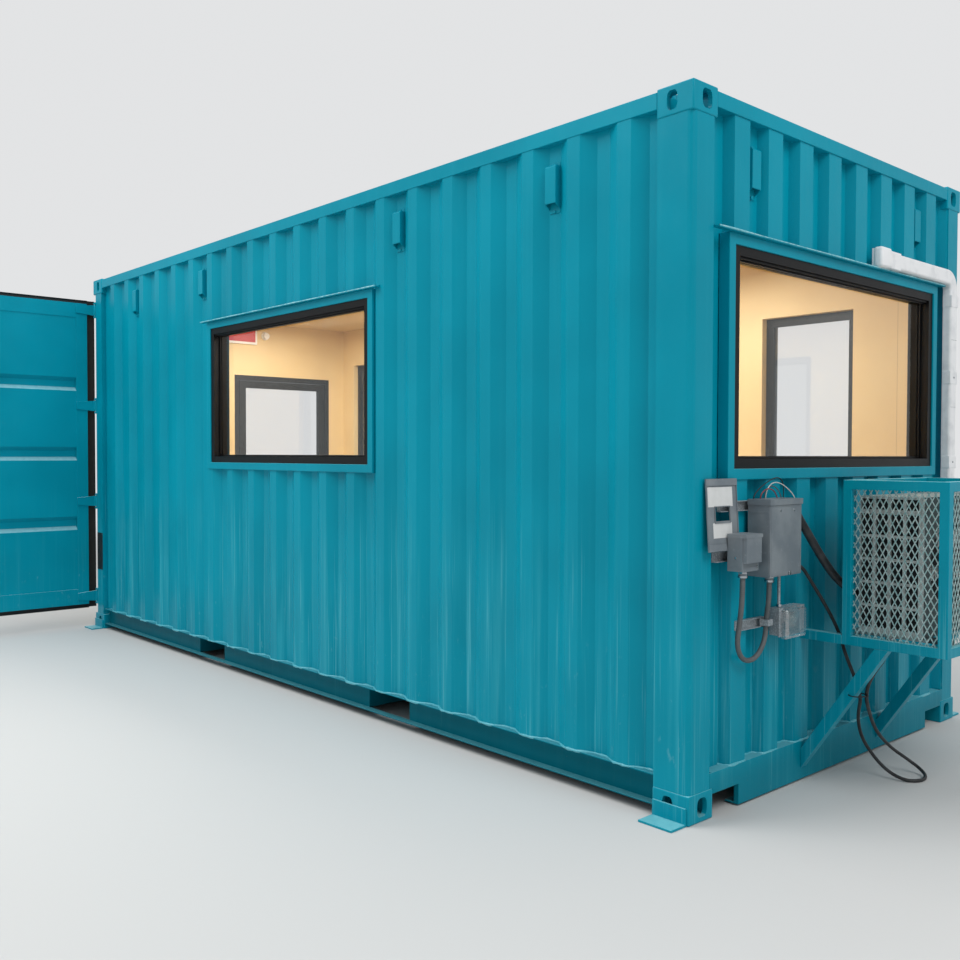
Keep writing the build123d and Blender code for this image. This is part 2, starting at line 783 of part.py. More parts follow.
with BuildPart() as fork_pocket_tunnels:
    for px in (-POCKET_X, POCKET_X):
        half = POCKET_WIDE / 2
        outline = [
            (px - half - PLATE, POCKET_LOW),
            (px - half, POCKET_LOW),
            (px - half, POCKET_HIGH),
            (px + half, POCKET_HIGH),
            (px + half, POCKET_LOW),
            (px + half + PLATE, POCKET_LOW),
            (px + half + PLATE, deck_under),
            (px - half - PLATE, deck_under),
        ]
        along_y(outline, -RAIL_WEB, RAIL_WEB)

with BuildPart() as floor_deck:
    bar(DECK_X_MIN, DECK_X_MAX, -RAIL_WEB, RAIL_WEB, deck_under, DECK_TOP)

# Room linings, ceiling and inner end wall
lining_out = ROOM_Y + LINING_T
with BuildPart() as near_side_lining:
    bar(ROOM_X_MIN, ROOM_X_MAX, -lining_out, -ROOM_Y, DECK_TOP, CEILING)
    window_hole_y(NEAR_WINDOW_X, WINDOW_W, WINDOW_H, -HY, 0)

with BuildPart() as far_side_lining:
    bar(ROOM_X_MIN, ROOM_X_MAX, ROOM_Y, lining_out, DECK_TOP, CEILING)
    for wx in FAR_WINDOW_X:
        reveal_w = FAR_WINDOW_W + 2 * LINING_T
        window_hole_y(wx, reveal_w, WINDOW_H + 2 * LINING_T, ROOM_Y, ROOM_Y + FAR_REVEAL, Mode.ADD)
        window_hole_y(wx, FAR_WINDOW_W, WINDOW_H, ROOM_Y - 1, HY)

with BuildPart() as end_lining:
    bar(ROOM_X_MAX, ROOM_X_MAX + LINING_T, -lining_out, lining_out, DECK_TOP, CEILING)
    window_hole_x(END_WINDOW_Y, END_WINDOW_W, WINDOW_H, ROOM_X_MAX - 1, HX)

with BuildPart() as ceiling_panel:
    bar(PARTITION_BACK, ROOM_X_MAX + LINING_T, -lining_out, lining_out, CEILING, CEILING + LINING_T)

with BuildPart() as inner_end_wall_near:
    bar(PARTITION_BACK, ROOM_X_MIN, -PARTITION_Y, DOOR_Y0, DECK_TOP, CEILING)

with BuildPart() as inner_end_wall_far:
    bar(PARTITION_BACK, ROOM_X_MIN, DOOR_Y1, PARTITION_Y, DECK_TOP, CEILING)

with BuildPart() as inner_end_wall_over_door:
    bar(PARTITION_BACK, ROOM_X_MIN, DOOR_Y0, DOOR_Y1, DOOR_TOP, CEILING)

# Window surrounds in the corrugated walls
with BuildPart() as window_surrounds:
    y_out = SIDE_OUT + SURROUND_PROUD
    window_hole_y(NEAR_WINDOW_X, hole_w, hole_h, -y_out, -y_out + SURROUND_DEEP, Mode.ADD)
    window_hole_y(NEAR_WINDOW_X, WINDOW_W, WINDOW_H, -y_out - 1, -y_out + SURROUND_DEEP + 1)
    for wx in FAR_WINDOW_X:
        window_hole_y(wx, far_hole_w, hole_h, y_out - SURROUND_DEEP, y_out, Mode.ADD)
        window_hole_y(wx, FAR_WINDOW_W, WINDOW_H, y_out - SURROUND_DEEP - 1, y_out + 1)
    x_out = END_OUT + SURROUND_PROUD
    window_hole_x(END_WINDOW_Y, end_hole_w, hole_h, x_out - SURROUND_DEEP, x_out, Mode.ADD)
    window_hole_x(END_WINDOW_Y, END_WINDOW_W, WINDOW_H, x_out - SURROUND_DEEP - 1, x_out + 1)

# Drip flashings over the windows
with BuildPart() as window_flashings:
    z0 = WINDOW_Z + hole_h / 2
    for sign, wx, half, out in (
        (-1, NEAR_WINDOW_X, hole_w / 2, FLASH_OUT),
        (1, FAR_WINDOW_X[0], far_hole_w / 2, FAR_FLASH_OUT),
        (1, FAR_WINDOW_X[1], far_hole_w / 2, FAR_FLASH_OUT),
    ):
        flash = [
            (sign * SIDE_OUT, z0),
            (sign * (SIDE_OUT + out), z0),
            (sign * (SIDE_OUT + out), z0 + FLASH_T),
            (sign * SIDE_OUT, z0 + FLASH_UP),
        ]
        along_x(flash, wx - half - FLASH_OVER, wx + half + FLASH_OVER)
    flash = [
        (END_OUT, z0),
        (END_OUT + FLASH_OUT, z0),
        (END_OUT + FLASH_OUT, z0 + FLASH_T),
        (END_OUT, z0 + FLASH_UP),
    ]
    along_y(flash, END_WINDOW_Y - end_hole_w / 2 - END_FLASH_OVER, DUCT_Y0 - DUCT_BEND - 2)

# Window frames: the two wide ones reach the lining, the far pair stop at their reveals
with BuildPart() as window_frames:
    window_hole_y(NEAR_WINDOW_X, WINDOW_W, WINDOW_H, -SIDE_OUT, -ROOM_Y, Mode.ADD)
    window_hole_y(NEAR_WINDOW_X, WINDOW_W - 2 * FRAME_W, WINDOW_H - 2 * FRAME_W, -HY, -ROOM_Y + 1)
    window_hole_x(END_WINDOW_Y, END_WINDOW_W, WINDOW_H, ROOM_X_MAX, END_OUT, Mode.ADD)
    window_hole_x(END_WINDOW_Y, END_WINDOW_W - 2 * FRAME_W, WINDOW_H - 2 * FRAME_W, ROOM_X_MAX - 1, HX)
    for wx in FAR_WINDOW_X:
        window_hole_y(wx, FAR_WINDOW_W, WINDOW_H, ROOM_Y + FAR_REVEAL, SIDE_OUT, Mode.ADD)
        window_hole_y(wx, FAR_WINDOW_W - 2 * FRAME_W, WINDOW_H - 2 * FRAME_W, ROOM_Y, HY)

with BuildPart() as window_glass:
    glass_h = WINDOW_H - 2 * FRAME_W
    y0 = SIDE_OUT - GLASS_SET
    window_hole_y(NEAR_WINDOW_X, WINDOW_W - 2 * FRAME_W, glass_h, -y0, -y0 + GLASS_T, Mode.ADD)
    for wx in FAR_WINDOW_X:
        window_hole_y(wx, FAR_WINDOW_W - 2 * FRAME_W, glass_h, y0 - GLASS_T, y0, Mode.ADD)
    x0 = END_OUT - GLASS_SET
    window_hole_x(END_WINDOW_Y, END_WINDOW_W - 2 * FRAME_W, glass_h, x0 - GLASS_T, x0, Mode.ADD)

# Vent covers in the wall recesses: a flange on the wall and a hollow hood
vent_low = VENT_Z - VENT_H / 2
vent_high = VENT_Z + VENT_H / 2


def vent_hood(base, sign):
    """Outline of the hood and of the hollow in it, as distance out and height."""
    deep = VENT_DEEP
    wall = VENT_SHEET
    foot = vent_low + VENT_RIM
    crown = vent_high - VENT_RIM
    hood = [
        (0, vent_low),
        (wall, vent_low),
        (wall, foot),
        (deep, foot + VENT_SLANT),
        (deep, crown - 8),
        (deep - 8, crown),
        (wall, crown),
        (wall, vent_high),
        (0, vent_high),
    ]
    hollow = [
        (wall, foot),
        (deep - wall, foot + VENT_SLANT * (deep - 2 * wall) / (deep - wall)),
        (deep - wall, crown - 10),
        (wall, crown - wall),
    ]
    return [[(sign * (base + out), z) for out, z in outline] for outline in (hood, hollow)]


with BuildPart() as vent_covers:
    inner = VENT_W / 2 - VENT_SHEET
    for sy in (1, -1):
        hood, hollow = vent_hood(SIDE_OUT - SIDE_DEEP, sy)
        for bay in VENT_BAYS:
            x = SIDE_FIRST - SIDE_PITCH * (bay - 1) - (SIDE_PITCH - SIDE_FLAT) / 2
            along_x(hood, x - VENT_W / 2, x + VENT_W / 2)
            along_x(hollow, x - inner, x + inner, Mode.SUBTRACT)
    hood, hollow = vent_hood(END_OUT - END_DEEP, 1)
    for y in (-VENT_END_Y, VENT_END_Y):
        along_y(hood, y - VENT_W / 2, y + VENT_W / 2)
        along_y(hollow, y - inner, y + inner, Mode.SUBTRACT)

# Cargo leaves, drawn shut and swung back about their pins
leaf_parts = {}
for name, sy in (("near", -1), ("far", 1)):
    with BuildPart() as leaf_frame:
        bar(-LEAF_FACE, -LEAF_FACE + LEAF_T, sy * LEAF_MEET, sy * LEAF_EDGE, LEAF_LOW, LEAF_HIGH)
        bar(
            -LEAF_FACE - 1,
            -LEAF_FACE + LEAF_T + 1,
            sy * (LEAF_MEET + STILE),
            sy * (LEAF_EDGE - STILE),
            LEAF_LOW + LEAF_LOW_RAIL,
            LEAF_HIGH - LEAF_TOP_RAIL,
            Mode.SUBTRACT,
        )
        for hz in HINGE_Z:
            with BuildSketch(Plane.YZ.offset(-LEAF_FACE - BLADE_T)) as blade:
                with BuildLine():
                    Polyline(
                        (sy * PIN_Y, hz - BLADE_ROOT / 2),
                        (sy * (PIN_Y - BLADE_REACH), hz - BLADE_TIP / 2),
                        (sy * (PIN_Y - BLADE_REACH), hz + BLADE_TIP / 2),
                        (sy * PIN_Y, hz + BLADE_ROOT / 2),
                        close=True,
                    )
                make_face()
            extrude(blade.sketch, amount=BLADE_T)
            bar(
                -PIN_X,
                -LEAF_FACE,
                sy * (PIN_Y - BARREL_R),
                sy * PIN_Y,
                hz - BLADE_ROOT / 2,
                hz + BLADE_ROOT / 2,
            )
            with Locations((-PIN_X, sy * PIN_Y, hz)):
                Cylinder(BARREL_R, BLADE_ROOT)
                Cylinder(PIN_R + PIN_FIT, BLADE_ROOT + 2, mode=Mode.SUBTRACT)
    with BuildPart() as leaf_panel:
        face = -LEAF_FACE + PANEL_SET
        z_mid = (LEAF_LOW + LEAF_LOW_RAIL + LEAF_HIGH - LEAF_TOP_RAIL) / 2
        sheet = [(face, LEAF_LOW + LEAF_LOW_RAIL)]
        for k in (-1, 0, 1):
            z = z_mid + k * RIB_PITCH
            sheet += [
                (face, z - RIB_HIGH / 2),
                (face + RIB_DEEP, z - RIB_HIGH / 2 + RIB_SLOPE),
                (face + RIB_DEEP, z + RIB_HIGH / 2 - RIB_SLOPE),
                (face, z + RIB_HIGH / 2),
            ]
        sheet.append((face, LEAF_HIGH - LEAF_TOP_RAIL))
        sheet += [(x + SHEET, z) for x, z in reversed(sheet)]
        y0 = sy * (LEAF_MEET + STILE)
        y1 = sy * (LEAF_EDGE - STILE)
        along_y(sheet, min(y0, y1), max(y0, y1))
    with BuildPart() as leaf_gasket:
        x0 = -LEAF_FACE + LEAF_T - GASKET_T
        x1 = -LEAF_FACE + LEAF_T
        edge = LEAF_EDGE + GASKET_W
        bar(x0, x1, sy * LEAF_MEET, sy * edge, LEAF_LOW - GASKET_W, LEAF_HIGH + GASKET_W)
        bar(x0 - 1, x1 + 1, sy * (LEAF_MEET - 1), sy * LEAF_EDGE, LEAF_LOW, LEAF_HIGH, Mode.SUBTRACT)
    swing = Axis((-PIN_X, sy * PIN_Y, 0), (0, 0, 1))
    for piece, builder in (
        ("frame", leaf_frame),
        ("panel", leaf_panel),
        ("gasket", leaf_gasket),
    ):
        leaf_parts[f"{name}_leaf_{piece}"] = builder.part.rotate(swing, -sy * OPEN_ANGLE)

# Glazed door: frame in the inner end wall, leaf on three lift-off hinges at its far jamb
frame_back = ROOM_X_MIN - DOOR_FRAME_DEEP
door_pin_x = ROOM_X_MIN + DOOR_PIN_OUT
door_pin_y = DOOR_Y1 - DOOR_FRAME - DOOR_GAP / 2


def door_hinge_half(side, z0, z1):
    """One half of a hinge: flap on the room face, web and barrel, on side 1 (jamb) or -1 (leaf)."""
    y_web = door_pin_y + side * DOOR_KNUCKLE_R
    bar(ROOM_X_MIN, ROOM_X_MIN + DOOR_FLAP_T, y_web, y_web + side * DOOR_FLAP_W, z0, z1)
    bar(ROOM_X_MIN, door_pin_x + DOOR_FLAP_T, y_web, y_web + side * DOOR_WEB, z0, z1)
    bar(door_pin_x - DOOR_FLAP_T, door_pin_x + DOOR_FLAP_T, door_pin_y, y_web, z0, z1)
    with Locations((door_pin_x, door_pin_y, (z0 + z1) / 2)):
        Cylinder(DOOR_KNUCKLE_R, abs(z1 - z0))


with BuildPart() as glazed_door_frame:
    bar(frame_back, ROOM_X_MIN, DOOR_Y0, DOOR_Y1, DECK_TOP, DOOR_TOP)
    bar(
        frame_back - 1,
        ROOM_X_MIN + 1,
        DOOR_Y0 + DOOR_FRAME,
        DOOR_Y1 - DOOR_FRAME,
        DECK_TOP - 1,
        DOOR_TOP - DOOR_FRAME,
        Mode.SUBTRACT,
    )
    half_gap = DOOR_KNUCKLE_GAP / 2
    for hz in DOOR_HINGE_Z:
        door_hinge_half(1, hz - half_gap - DOOR_KNUCKLE_H, hz - half_gap)
        pin_long = DOOR_KNUCKLE_H + DOOR_KNUCKLE_GAP + 2
        rod((door_pin_x, door_pin_y, hz - half_gap), (0, 0, 1), pin_long, DOOR_PIN_R)

leaf_y0 = DOOR_Y0 + DOOR_FRAME + DOOR_GAP
leaf_y1 = DOOR_Y1 - DOOR_FRAME - DOOR_GAP
leaf_z0 = DECK_TOP + 8
leaf_z1 = DOOR_TOP - DOOR_FRAME - DOOR_GAP
with BuildPart() as glazed_door_leaf:
    bar(ROOM_X_MIN - DOOR_T, ROOM_X_MIN, leaf_y0, leaf_y1, leaf_z0, leaf_z1)
    bar(
        ROOM_X_MIN - DOOR_T - 1,
        ROOM_X_MIN + 1,
        leaf_y0 + DOOR_RAIL,
        leaf_y1 - DOOR_RAIL,
        leaf_z0 + 2 * DOOR_RAIL,
        leaf_z1 - DOOR_RAIL,
        Mode.SUBTRACT,
    )
    for hz in DOOR_HINGE_Z:
        door_hinge_half(-1, hz + half_gap, hz + half_gap + DOOR_KNUCKLE_H)
        bore = (door_pin_x, door_pin_y, hz + half_gap - 1)
        rod(bore, (0, 0, 1), DOOR_KNUCKLE_H + 2, DOOR_PIN_R + PIN_FIT, Mode.SUBTRACT)
    pull_y = leaf_y0 + DOOR_RAIL / 2
    for face, out in ((ROOM_X_MIN, 1), (ROOM_X_MIN - DOOR_T, -1)):
        rod((face + out * PULL_OFF, pull_y, PULL_Z - PULL_LONG / 2), (0, 0, 1), PULL_LONG, PULL_R)
        for up in (1, -1):
            rod((face, pull_y, PULL_Z + up * (PULL_LONG / 2 - 3 * PULL_R)), (out, 0, 0), PULL_OFF, PULL_R - 1)

with BuildPart() as glazed_door_glass:
    bar(
        ROOM_X_MIN - DOOR_T / 2 - GLASS_T / 2,
        ROOM_X_MIN - DOOR_T / 2 + GLASS_T / 2,
        leaf_y0 + DOOR_RAIL,
        leaf_y1 - DOOR_RAIL,
        leaf_z0 + 2 * DOOR_RAIL,
        leaf_z1 - DOOR_RAIL,
    )

# Cage for the condenser, with its arms and braces
with BuildPart() as cage_frame:
    bar(CAGE_X0, CAGE_X1, CAGE_Y0, CAGE_Y1, CAGE_Z0, CAGE_Z1)
    t = CAGE_TUBE
    bar(CAGE_X0 - 1, CAGE_X1 + 1, CAGE_Y0 + t, CAGE_Y1 - t, CAGE_Z0 + t, CAGE_Z1 - t, Mode.SUBTRACT)
    bar(CAGE_X0 + t, CAGE_X1 - t, CAGE_Y0 - 1, CAGE_Y1 + 1, CAGE_Z0 + t, CAGE_Z1 - t, Mode.SUBTRACT)
    bar(CAGE_X0 + t, CAGE_X1 - t, CAGE_Y0 + t, CAGE_Y1 - t, CAGE_Z0 - 1, CAGE_Z1 + 1, Mode.SUBTRACT)

with BuildPart() as cage_mesh:
    t = CAGE_TUBE
    for y in (CAGE_Y0 + t / 2, CAGE_Y1 - t / 2):
        bar(CAGE_X0 + t, CAGE_X1 - t, y - MESH_T / 2, y + MESH_T / 2, CAGE_Z0 + t, CAGE_Z1 - t)
    x = CAGE_X1 - t / 2
    bar(x - MESH_T / 2, x + MESH_T / 2, CAGE_Y0 + t, CAGE_Y1 - t, CAGE_Z0 + t, CAGE_Z1 - t)
    z = CAGE_Z1 - t / 2
    bar(CAGE_X0 + t, CAGE_X1 - t, CAGE_Y0 + t, CAGE_Y1 - t, z - MESH_T / 2, z + MESH_T / 2)

with BuildPart() as cage_brackets:
    rise = math.atan2(CAGE_Z0 - BRACE_FOOT, BRACE_HEAD_X - END_RAIL_OUT)
    cut = BRACE / math.cos(rise)
    run = BRACE / math.sin(rise)
    brace = [
        (END_RAIL_OUT, BRACE_FOOT),
        (BRACE_HEAD_X, CAGE_Z0),
        (BRACE_HEAD_X - run, CAGE_Z0),
        (END_RAIL_OUT, BRACE_FOOT + cut),
    ]
    for side in (CAGE_Y0, CAGE_Y1):
        inward = 1 if side < 0 else -1
        bar(END_OUT, CAGE_X0, side, side + inward * CAGE_TUBE, CAGE_Z0, ARM_TOP)
        along_y(brace, min(side, side + inward * BRACE), max(side, side + inward * BRACE))

# Condenser: pressed case on two feet, grille openings at the near end, fan opening outwards
supply_end = gear_point(233, 1027, 172)
supply_aim = (40, 36, -23)
cable_top = (CAGE_X0 + 180, UNIT_Y0 + 19, UNIT_Z0)
with BuildPart() as condenser_unit:
    with BuildSketch(Plane.XY.offset(UNIT_Z0)) as case:
        with Locations(((UNIT_X0 + UNIT_X1) / 2, (UNIT_Y0 + UNIT_Y1) / 2)):
            RectangleRounded(UNIT_DEEP, UNIT_W, UNIT_ROUND)
    extrude(case.sketch, amount=UNIT_H)
    for y in (UNIT_Y0 + UNIT_FOOT_W, UNIT_Y1 - 2 * UNIT_FOOT_W):
        bar(CAGE_X0 + 10, CAGE_X1 - 26, y, y + UNIT_FOOT_W, ARM_TOP, UNIT_Z0)
    grille_x = UNIT_X0 + 7 + GRILLE_W / 2 + (GRILLE_COLS - 1) * GRILLE_PITCH_X / 2
    grille_z = UNIT_Z0 + 24 + GRILLE_H / 2 + (GRILLE_ROWS - 1) * GRILLE_PITCH_Z / 2
    near_end = Plane(origin=(grille_x, UNIT_Y0, grille_z), x_dir=(1, 0, 0), z_dir=(0, -1, 0))
    with BuildSketch(near_end) as grille:
        with GridLocations(GRILLE_PITCH_X, GRILLE_PITCH_Z, GRILLE_COLS, GRILLE_ROWS):
            Rectangle(GRILLE_W, GRILLE_H)
        with Locations((0, UNIT_Z1 - 11 - GRILLE_TOP_H / 2 - grille_z)):
            with GridLocations(GRILLE_PITCH_X, GRILLE_PITCH_Z, GRILLE_COLS, 1):
                Rectangle(GRILLE_W, GRILLE_TOP_H)
    extrude(grille.sketch, amount=-GRILLE_DEEP, mode=Mode.SUBTRACT)
    fan = Plane(origin=(UNIT_X1, (UNIT_Y0 + UNIT_Y1) / 2 - 70, (UNIT_Z0 + UNIT_Z1) / 2), z_dir=(-1, 0, 0))
    with BuildSketch(fan) as opening:
        Circle(FAN_R)
        Circle(FAN_HUB_R, mode=Mode.SUBTRACT)
    extrude(opening.sketch, amount=FAN_DEEP, mode=Mode.SUBTRACT)
    rod(supply_end, supply_aim, 3 * SUPPLY_GLAND_R, SUPPLY_GLAND_R + 4)
    rod((cable_top[0], cable_top[1], UNIT_Z0 - 15), (0, 0, 1), 20, CABLE_GLAND_R)

# Channel struts on the blank end, the lower one with the clamp that holds the conduit
conduit_x = GEAR_X + 15
conduit_y = 495 - HY
with BuildPart() as gear_struts:
    for y0, y1, up in STRUTS:
        z0 = CAGE_Z0 + up - STRUT_HIGH / 2
        z1 = CAGE_Z0 + up + STRUT_HIGH / 2
        bar(END_OUT, GEAR_X, y0 - HY, y1 - HY, z0, z1)
        bar(END_OUT + STRUT_T, GEAR_X, y0 - HY, y1 - HY, z0 + STRUT_T, z1 - STRUT_T, Mode.SUBTRACT)
    clamp_z = CAGE_Z0 + STRUTS[-1][2]
    clamp_r = CONDUIT_D / 2 + 4.5
    clamp_y = clamp_r + CLAMP_T
    # The clamp's foot is a plate across the channel's mouth
    bar(GEAR_X - CLAMP_T, GEAR_X, conduit_y - clamp_y, conduit_y + clamp_y, z0 + 1, z1 - 1)
    bar(
        GEAR_X - CLAMP_T / 2,
        conduit_x + clamp_r + CLAMP_T,
        conduit_y - clamp_y,
        conduit_y + clamp_y,
        clamp_z - CLAMP_W / 2,
        clamp_z + CLAMP_W / 2,
    )
    rod((conduit_x, conduit_y, clamp_z - CLAMP_W / 2), (0, 0, 1), CLAMP_W, clamp_r, Mode.SUBTRACT)

# Switch boxes with the hubs and glands of the conduits
BIG_FRONT_X = GEAR_X + BIG_DEEP
conduit_big = gear_point(74, 453, 298)
conduit_small = gear_point(80, 249, 332)
supply_start = gear_point(59, 657, 588)
supply_first = gear_point(65, 751, 492)
supply_run = Vector(*supply_first) - Vector(*supply_start)
supply_ball = Vector(*supply_start) - supply_run.normalized() * 31
cable_start = gear_point(64, 634, 350)
with BuildPart() as switch_boxes:
    y1 = BIG_Y0 + BIG_W
    z1 = BIG_Z0 + BIG_H
    bar(GEAR_X, BIG_FRONT_X, BIG_Y0, y1, BIG_Z0, z1)
    bar(BIG_FRONT_X, BIG_FRONT_X + BIG_FRONT_T, BIG_Y0 + 2, y1 - 2, BIG_Z0 + 2, z1 - CAP_H)
    bar(GEAR_X, BIG_FRONT_X + 2 * CAP_OVER, BIG_Y0 - CAP_OVER, y1 + CAP_OVER, z1 - CAP_H, z1 + 1)
    block_x = GEAR_X + SMALL_BLOCK_T
    small_x = block_x + SMALL_DEEP
    y1 = SMALL_Y0 + SMALL_W
    z1 = SMALL_Z0 + SMALL_H
    bar(GEAR_X, block_x, SMALL_Y0 + 24, y1 - 24, SMALL_Z0 + FLAP_LOW, SMALL_Z0 + FLAP_LOW + 35)
    bar(block_x, small_x, SMALL_Y0, y1, SMALL_Z0, z1)
    bar(small_x, small_x + FLAP_T, SMALL_Y0 + 4, y1 - 4, SMALL_Z0 + FLAP_LOW, z1 - LID_H)
    bar(block_x, small_x + FLAP_T + LID_OVER, SMALL_Y0 - LID_OVER, y1 + LID_OVER, z1 - LID_H, z1)
    rod((conduit_big[0], conduit_big[1], BIG_Z0 - HUB_H), (0, 0, 1), HUB_H, HUB_R)
    rod((conduit_small[0], conduit_small[1], SMALL_Z0 - HUB_H), (0, 0, 1), HUB_H, HUB_R)
    rod((cable_start[0], BIG_Y0 + BIG_W, cable_start[2]), (0, 1, 0), HUB_H, CABLE_GLAND_R)
    big_side = BIG_Y0 + BIG_W
    rod((supply_ball.X, big_side, supply_ball.Z), (0, 1, 0), supply_ball.Y - big_side, SUPPLY_GLAND_R)
    with Locations(supply_ball):
        Sphere(SUPPLY_GLAND_R)
    rod(supply_ball, supply_run, 31, SUPPLY_GLAND_R)

with BuildPart() as junction_box:
    y1 = OUTLET_Y0 + OUTLET_W
    z1 = OUTLET_Z0 + OUTLET_H
    bar(END_OUT, GEAR_X, OUTLET_Y0 + 20, y1 - 20, OUTLET_Z0 + 20, z1 - 20)
    bar(GEAR_X, GEAR_X + OUTLET_DEEP - OUTLET_FLANGE, OUTLET_Y0 + 4, y1 - 4, OUTLET_Z0 + 4, z1)
    bar(GEAR_X + OUTLET_DEEP - OUTLET_FLANGE, GEAR_X + OUTLET_DEEP, OUTLET_Y0, y1, OUTLET_Z0, z1)
    rod((GEAR_X + PIPE_X, PIPE_Y, z1), (0, 0, 1), BIG_Z0 - z1, PIPE_R)

# Inner cover: a sheet with a window and a proud band at its head and foot, leaning on the strut
with BuildPart() as hanging_cover:
    lean = math.radians(COVER_LEAN)
    strut_top = CAGE_Z0 + STRUTS[0][2] + STRUT_HIGH / 2
    foot_x = GEAR_X + (strut_top - COVER_LOW) * math.tan(lean)
    foot = (foot_x, COVER_Y0 + COVER_W / 2, COVER_LOW)
    sheet_plane = Plane(origin=foot, x_dir=(0, 1, 0), z_dir=(1, 0, math.tan(lean)))
    with BuildSketch(sheet_plane) as sheet:
        with Locations((0, COVER_H / 2)):
            Rectangle(COVER_W, COVER_H)
        with Locations((0, CUTOUT_UP)):
            Rectangle(CUTOUT_W, CUTOUT_H, mode=Mode.SUBTRACT)
    extrude(sheet.sketch, amount=COVER_T)
    foot_w = SMALL_Y0 - LID_OVER - 2 - COVER_Y0
    with BuildSketch(sheet_plane.offset(COVER_T)) as bands:
        with Locations((0, COVER_H - COVER_BAND / 2)):
            Rectangle(COVER_W, COVER_BAND)
        with Locations(((foot_w - COVER_W) / 2, COVER_BAND / 2)):
            Rectangle(foot_w, COVER_BAND)
    extrude(bands.sketch, amount=COVER_BAND_T)

# Flexible conduit between the two boxes, held by the clamp on its way down
with BuildPart() as conduit_loop:
    conduit_volume = cord_tube(
        "conduit_loop",
        [
            conduit_big,
            gear_point(74, 453, 218),
            (conduit_x, conduit_y, CAGE_Z0 + 135),
            gear_point(32, 495, 36),
            gear_point(31, 428, -33),
            gear_point(32, 330, -33),
            gear_point(41, 262, 36),
            gear_point(56, 268, 138),
            gear_point(80, 249, 240),
            conduit_small,
        ],
        CONDUIT_D,
    )

# Large conduit from the switch box down into the condenser
with BuildPart() as supply_conduit:
    supply_volume = cord_tube(
        "supply_conduit",
        [
            supply_start,
            supply_first,
            gear_point(83, 859, 360),
            gear_point(127, 929, 253),
            gear_point(193, 991, 195),
            supply_end,
        ],
        SUPPLY_D,
    )

# Cable from the switch box, hung from the near brace in a loop that lies on the ground
ground = CABLE_D / 2 + 0.5
with BuildPart() as cage_cable:
    cable_volume = cord_tube(
        "cage_cable",
        [
            cable_start,
            gear_point(64, 707, 350),
            gear_point(72, 801, 253),
            gear_point(99, 897, 125),
            gear_point(131, 929, 32),
            hanging_point(179, 898, 0.906),
            hanging_point(237, 889, 0.738),
            hanging_point(245, 909, 0.622),
            hanging_point(204, 974, 0.534),
            hanging_point(159, 1054, 0.406),
            hanging_point(142, 1127, 0.258),
            hanging_point(179, 1161, 0.134),
            (END_OUT + 247, 1159 - HY, ground + 24),
            (END_OUT + 327, 1161 - HY, ground),
            (END_OUT + 375, 1211 - HY, ground),
            (END_OUT + 373, 1277 - HY, ground + 2),
            (END_OUT + 325, 1323 - HY, ground + 18),
            (END_OUT + 259, 1317 - HY, ground + 54),
            hanging_point(219, 1259, 0.172),
            hanging_point(222, 1157, 0.275),
            hanging_point(241, 1043, 0.391),
            hanging_point(269, 931, 0.55),
            hanging_point(275, 891, 0.669),
            hanging_point(301, 890, 0.8),
            (cable_top[0], cable_top[1] + 2, UNIT_Z0 - 83),
            (cable_top[0], cable_top[1] + 2, UNIT_Z0 - 15),
        ],
        CABLE_D,
    )

for name, tube, volume in (
    ("conduit_loop", conduit_loop, conduit_volume),
    ("supply_conduit", supply_conduit, supply_volume),
    ("cage_cable", cage_cable, cable_volume),
):
    print(name, "volume against section times length", round(tube.part.volume / volume, 4))


# Line-set cover: from the wall cap along the head of the window, round the elbow and down the post
def duct_section(plane, x_mid, across):
    """Section of the cover: flat back, rounded front edges."""
    with BuildSketch(plane) as face:
        with Locations((x_mid, across)):
            Rectangle(DUCT_DEEP, DUCT_W)
        fillet(face.vertices().group_by(Axis.X)[-1], DUCT_ROUND)
    return face.sketch


with BuildPart() as line_set_cover:
    duct_mid = DUCT_X + DUCT_DEEP / 2
    bend_y = DUCT_Y0 - DUCT_BEND
    bend_z = DUCT_LOW - DUCT_BEND
    level = duct_section(Plane.XZ.offset(-bend_y), duct_mid, (DUCT_LOW + DUCT_HIGH) / 2)
    extrude(level, amount=bend_y - CAP_Y1)
    revolve(level, axis=Axis((DUCT_X, bend_y, bend_z), (-1, 0, 0)), revolution_arc=90)
    upright = duct_section(Plane.XY.offset(bend_z), duct_mid, (DUCT_Y0 + DUCT_Y1) / 2)
    extrude(upright, amount=DUCT_END - bend_z)
    bar(DUCT_X, DUCT_X + DUCT_DEEP + 2, DUCT_Y0 - 2, DUCT_Y1 + 2, bend_z - 90, bend_z - 30)
    cap_x = (END_OUT, DUCT_X + DUCT_DEEP)
    bar(cap_x[0], cap_x[1], CAP_Y0 + DUCT_ROUND, CAP_Y1, DUCT_LOW, DUCT_HIGH + CAP_RISE)
    bar(cap_x[0], cap_x[1] - DUCT_ROUND, CAP_Y0, CAP_Y1, DUCT_LOW, DUCT_HIGH + CAP_RISE)

# Safety fixtures over the glazed door
with BuildPart() as exit_sign:
    bar(ROOM_X_MIN, ROOM_X_MIN + SIGN_T, SIGN_Y0, SIGN_Y0 + SIGN_W, SIGN_TOP - SIGN_H, SIGN_TOP)

with BuildPart() as safety_lamp:
    rod((ROOM_X_MIN, LAMP_Y, LAMP_Z), (1, 0, 0), LAMP_T * 0.4, LAMP_R)
    rod((ROOM_X_MIN, LAMP_Y, LAMP_Z), (1, 0, 0), LAMP_T, LAMP_R * 0.8)

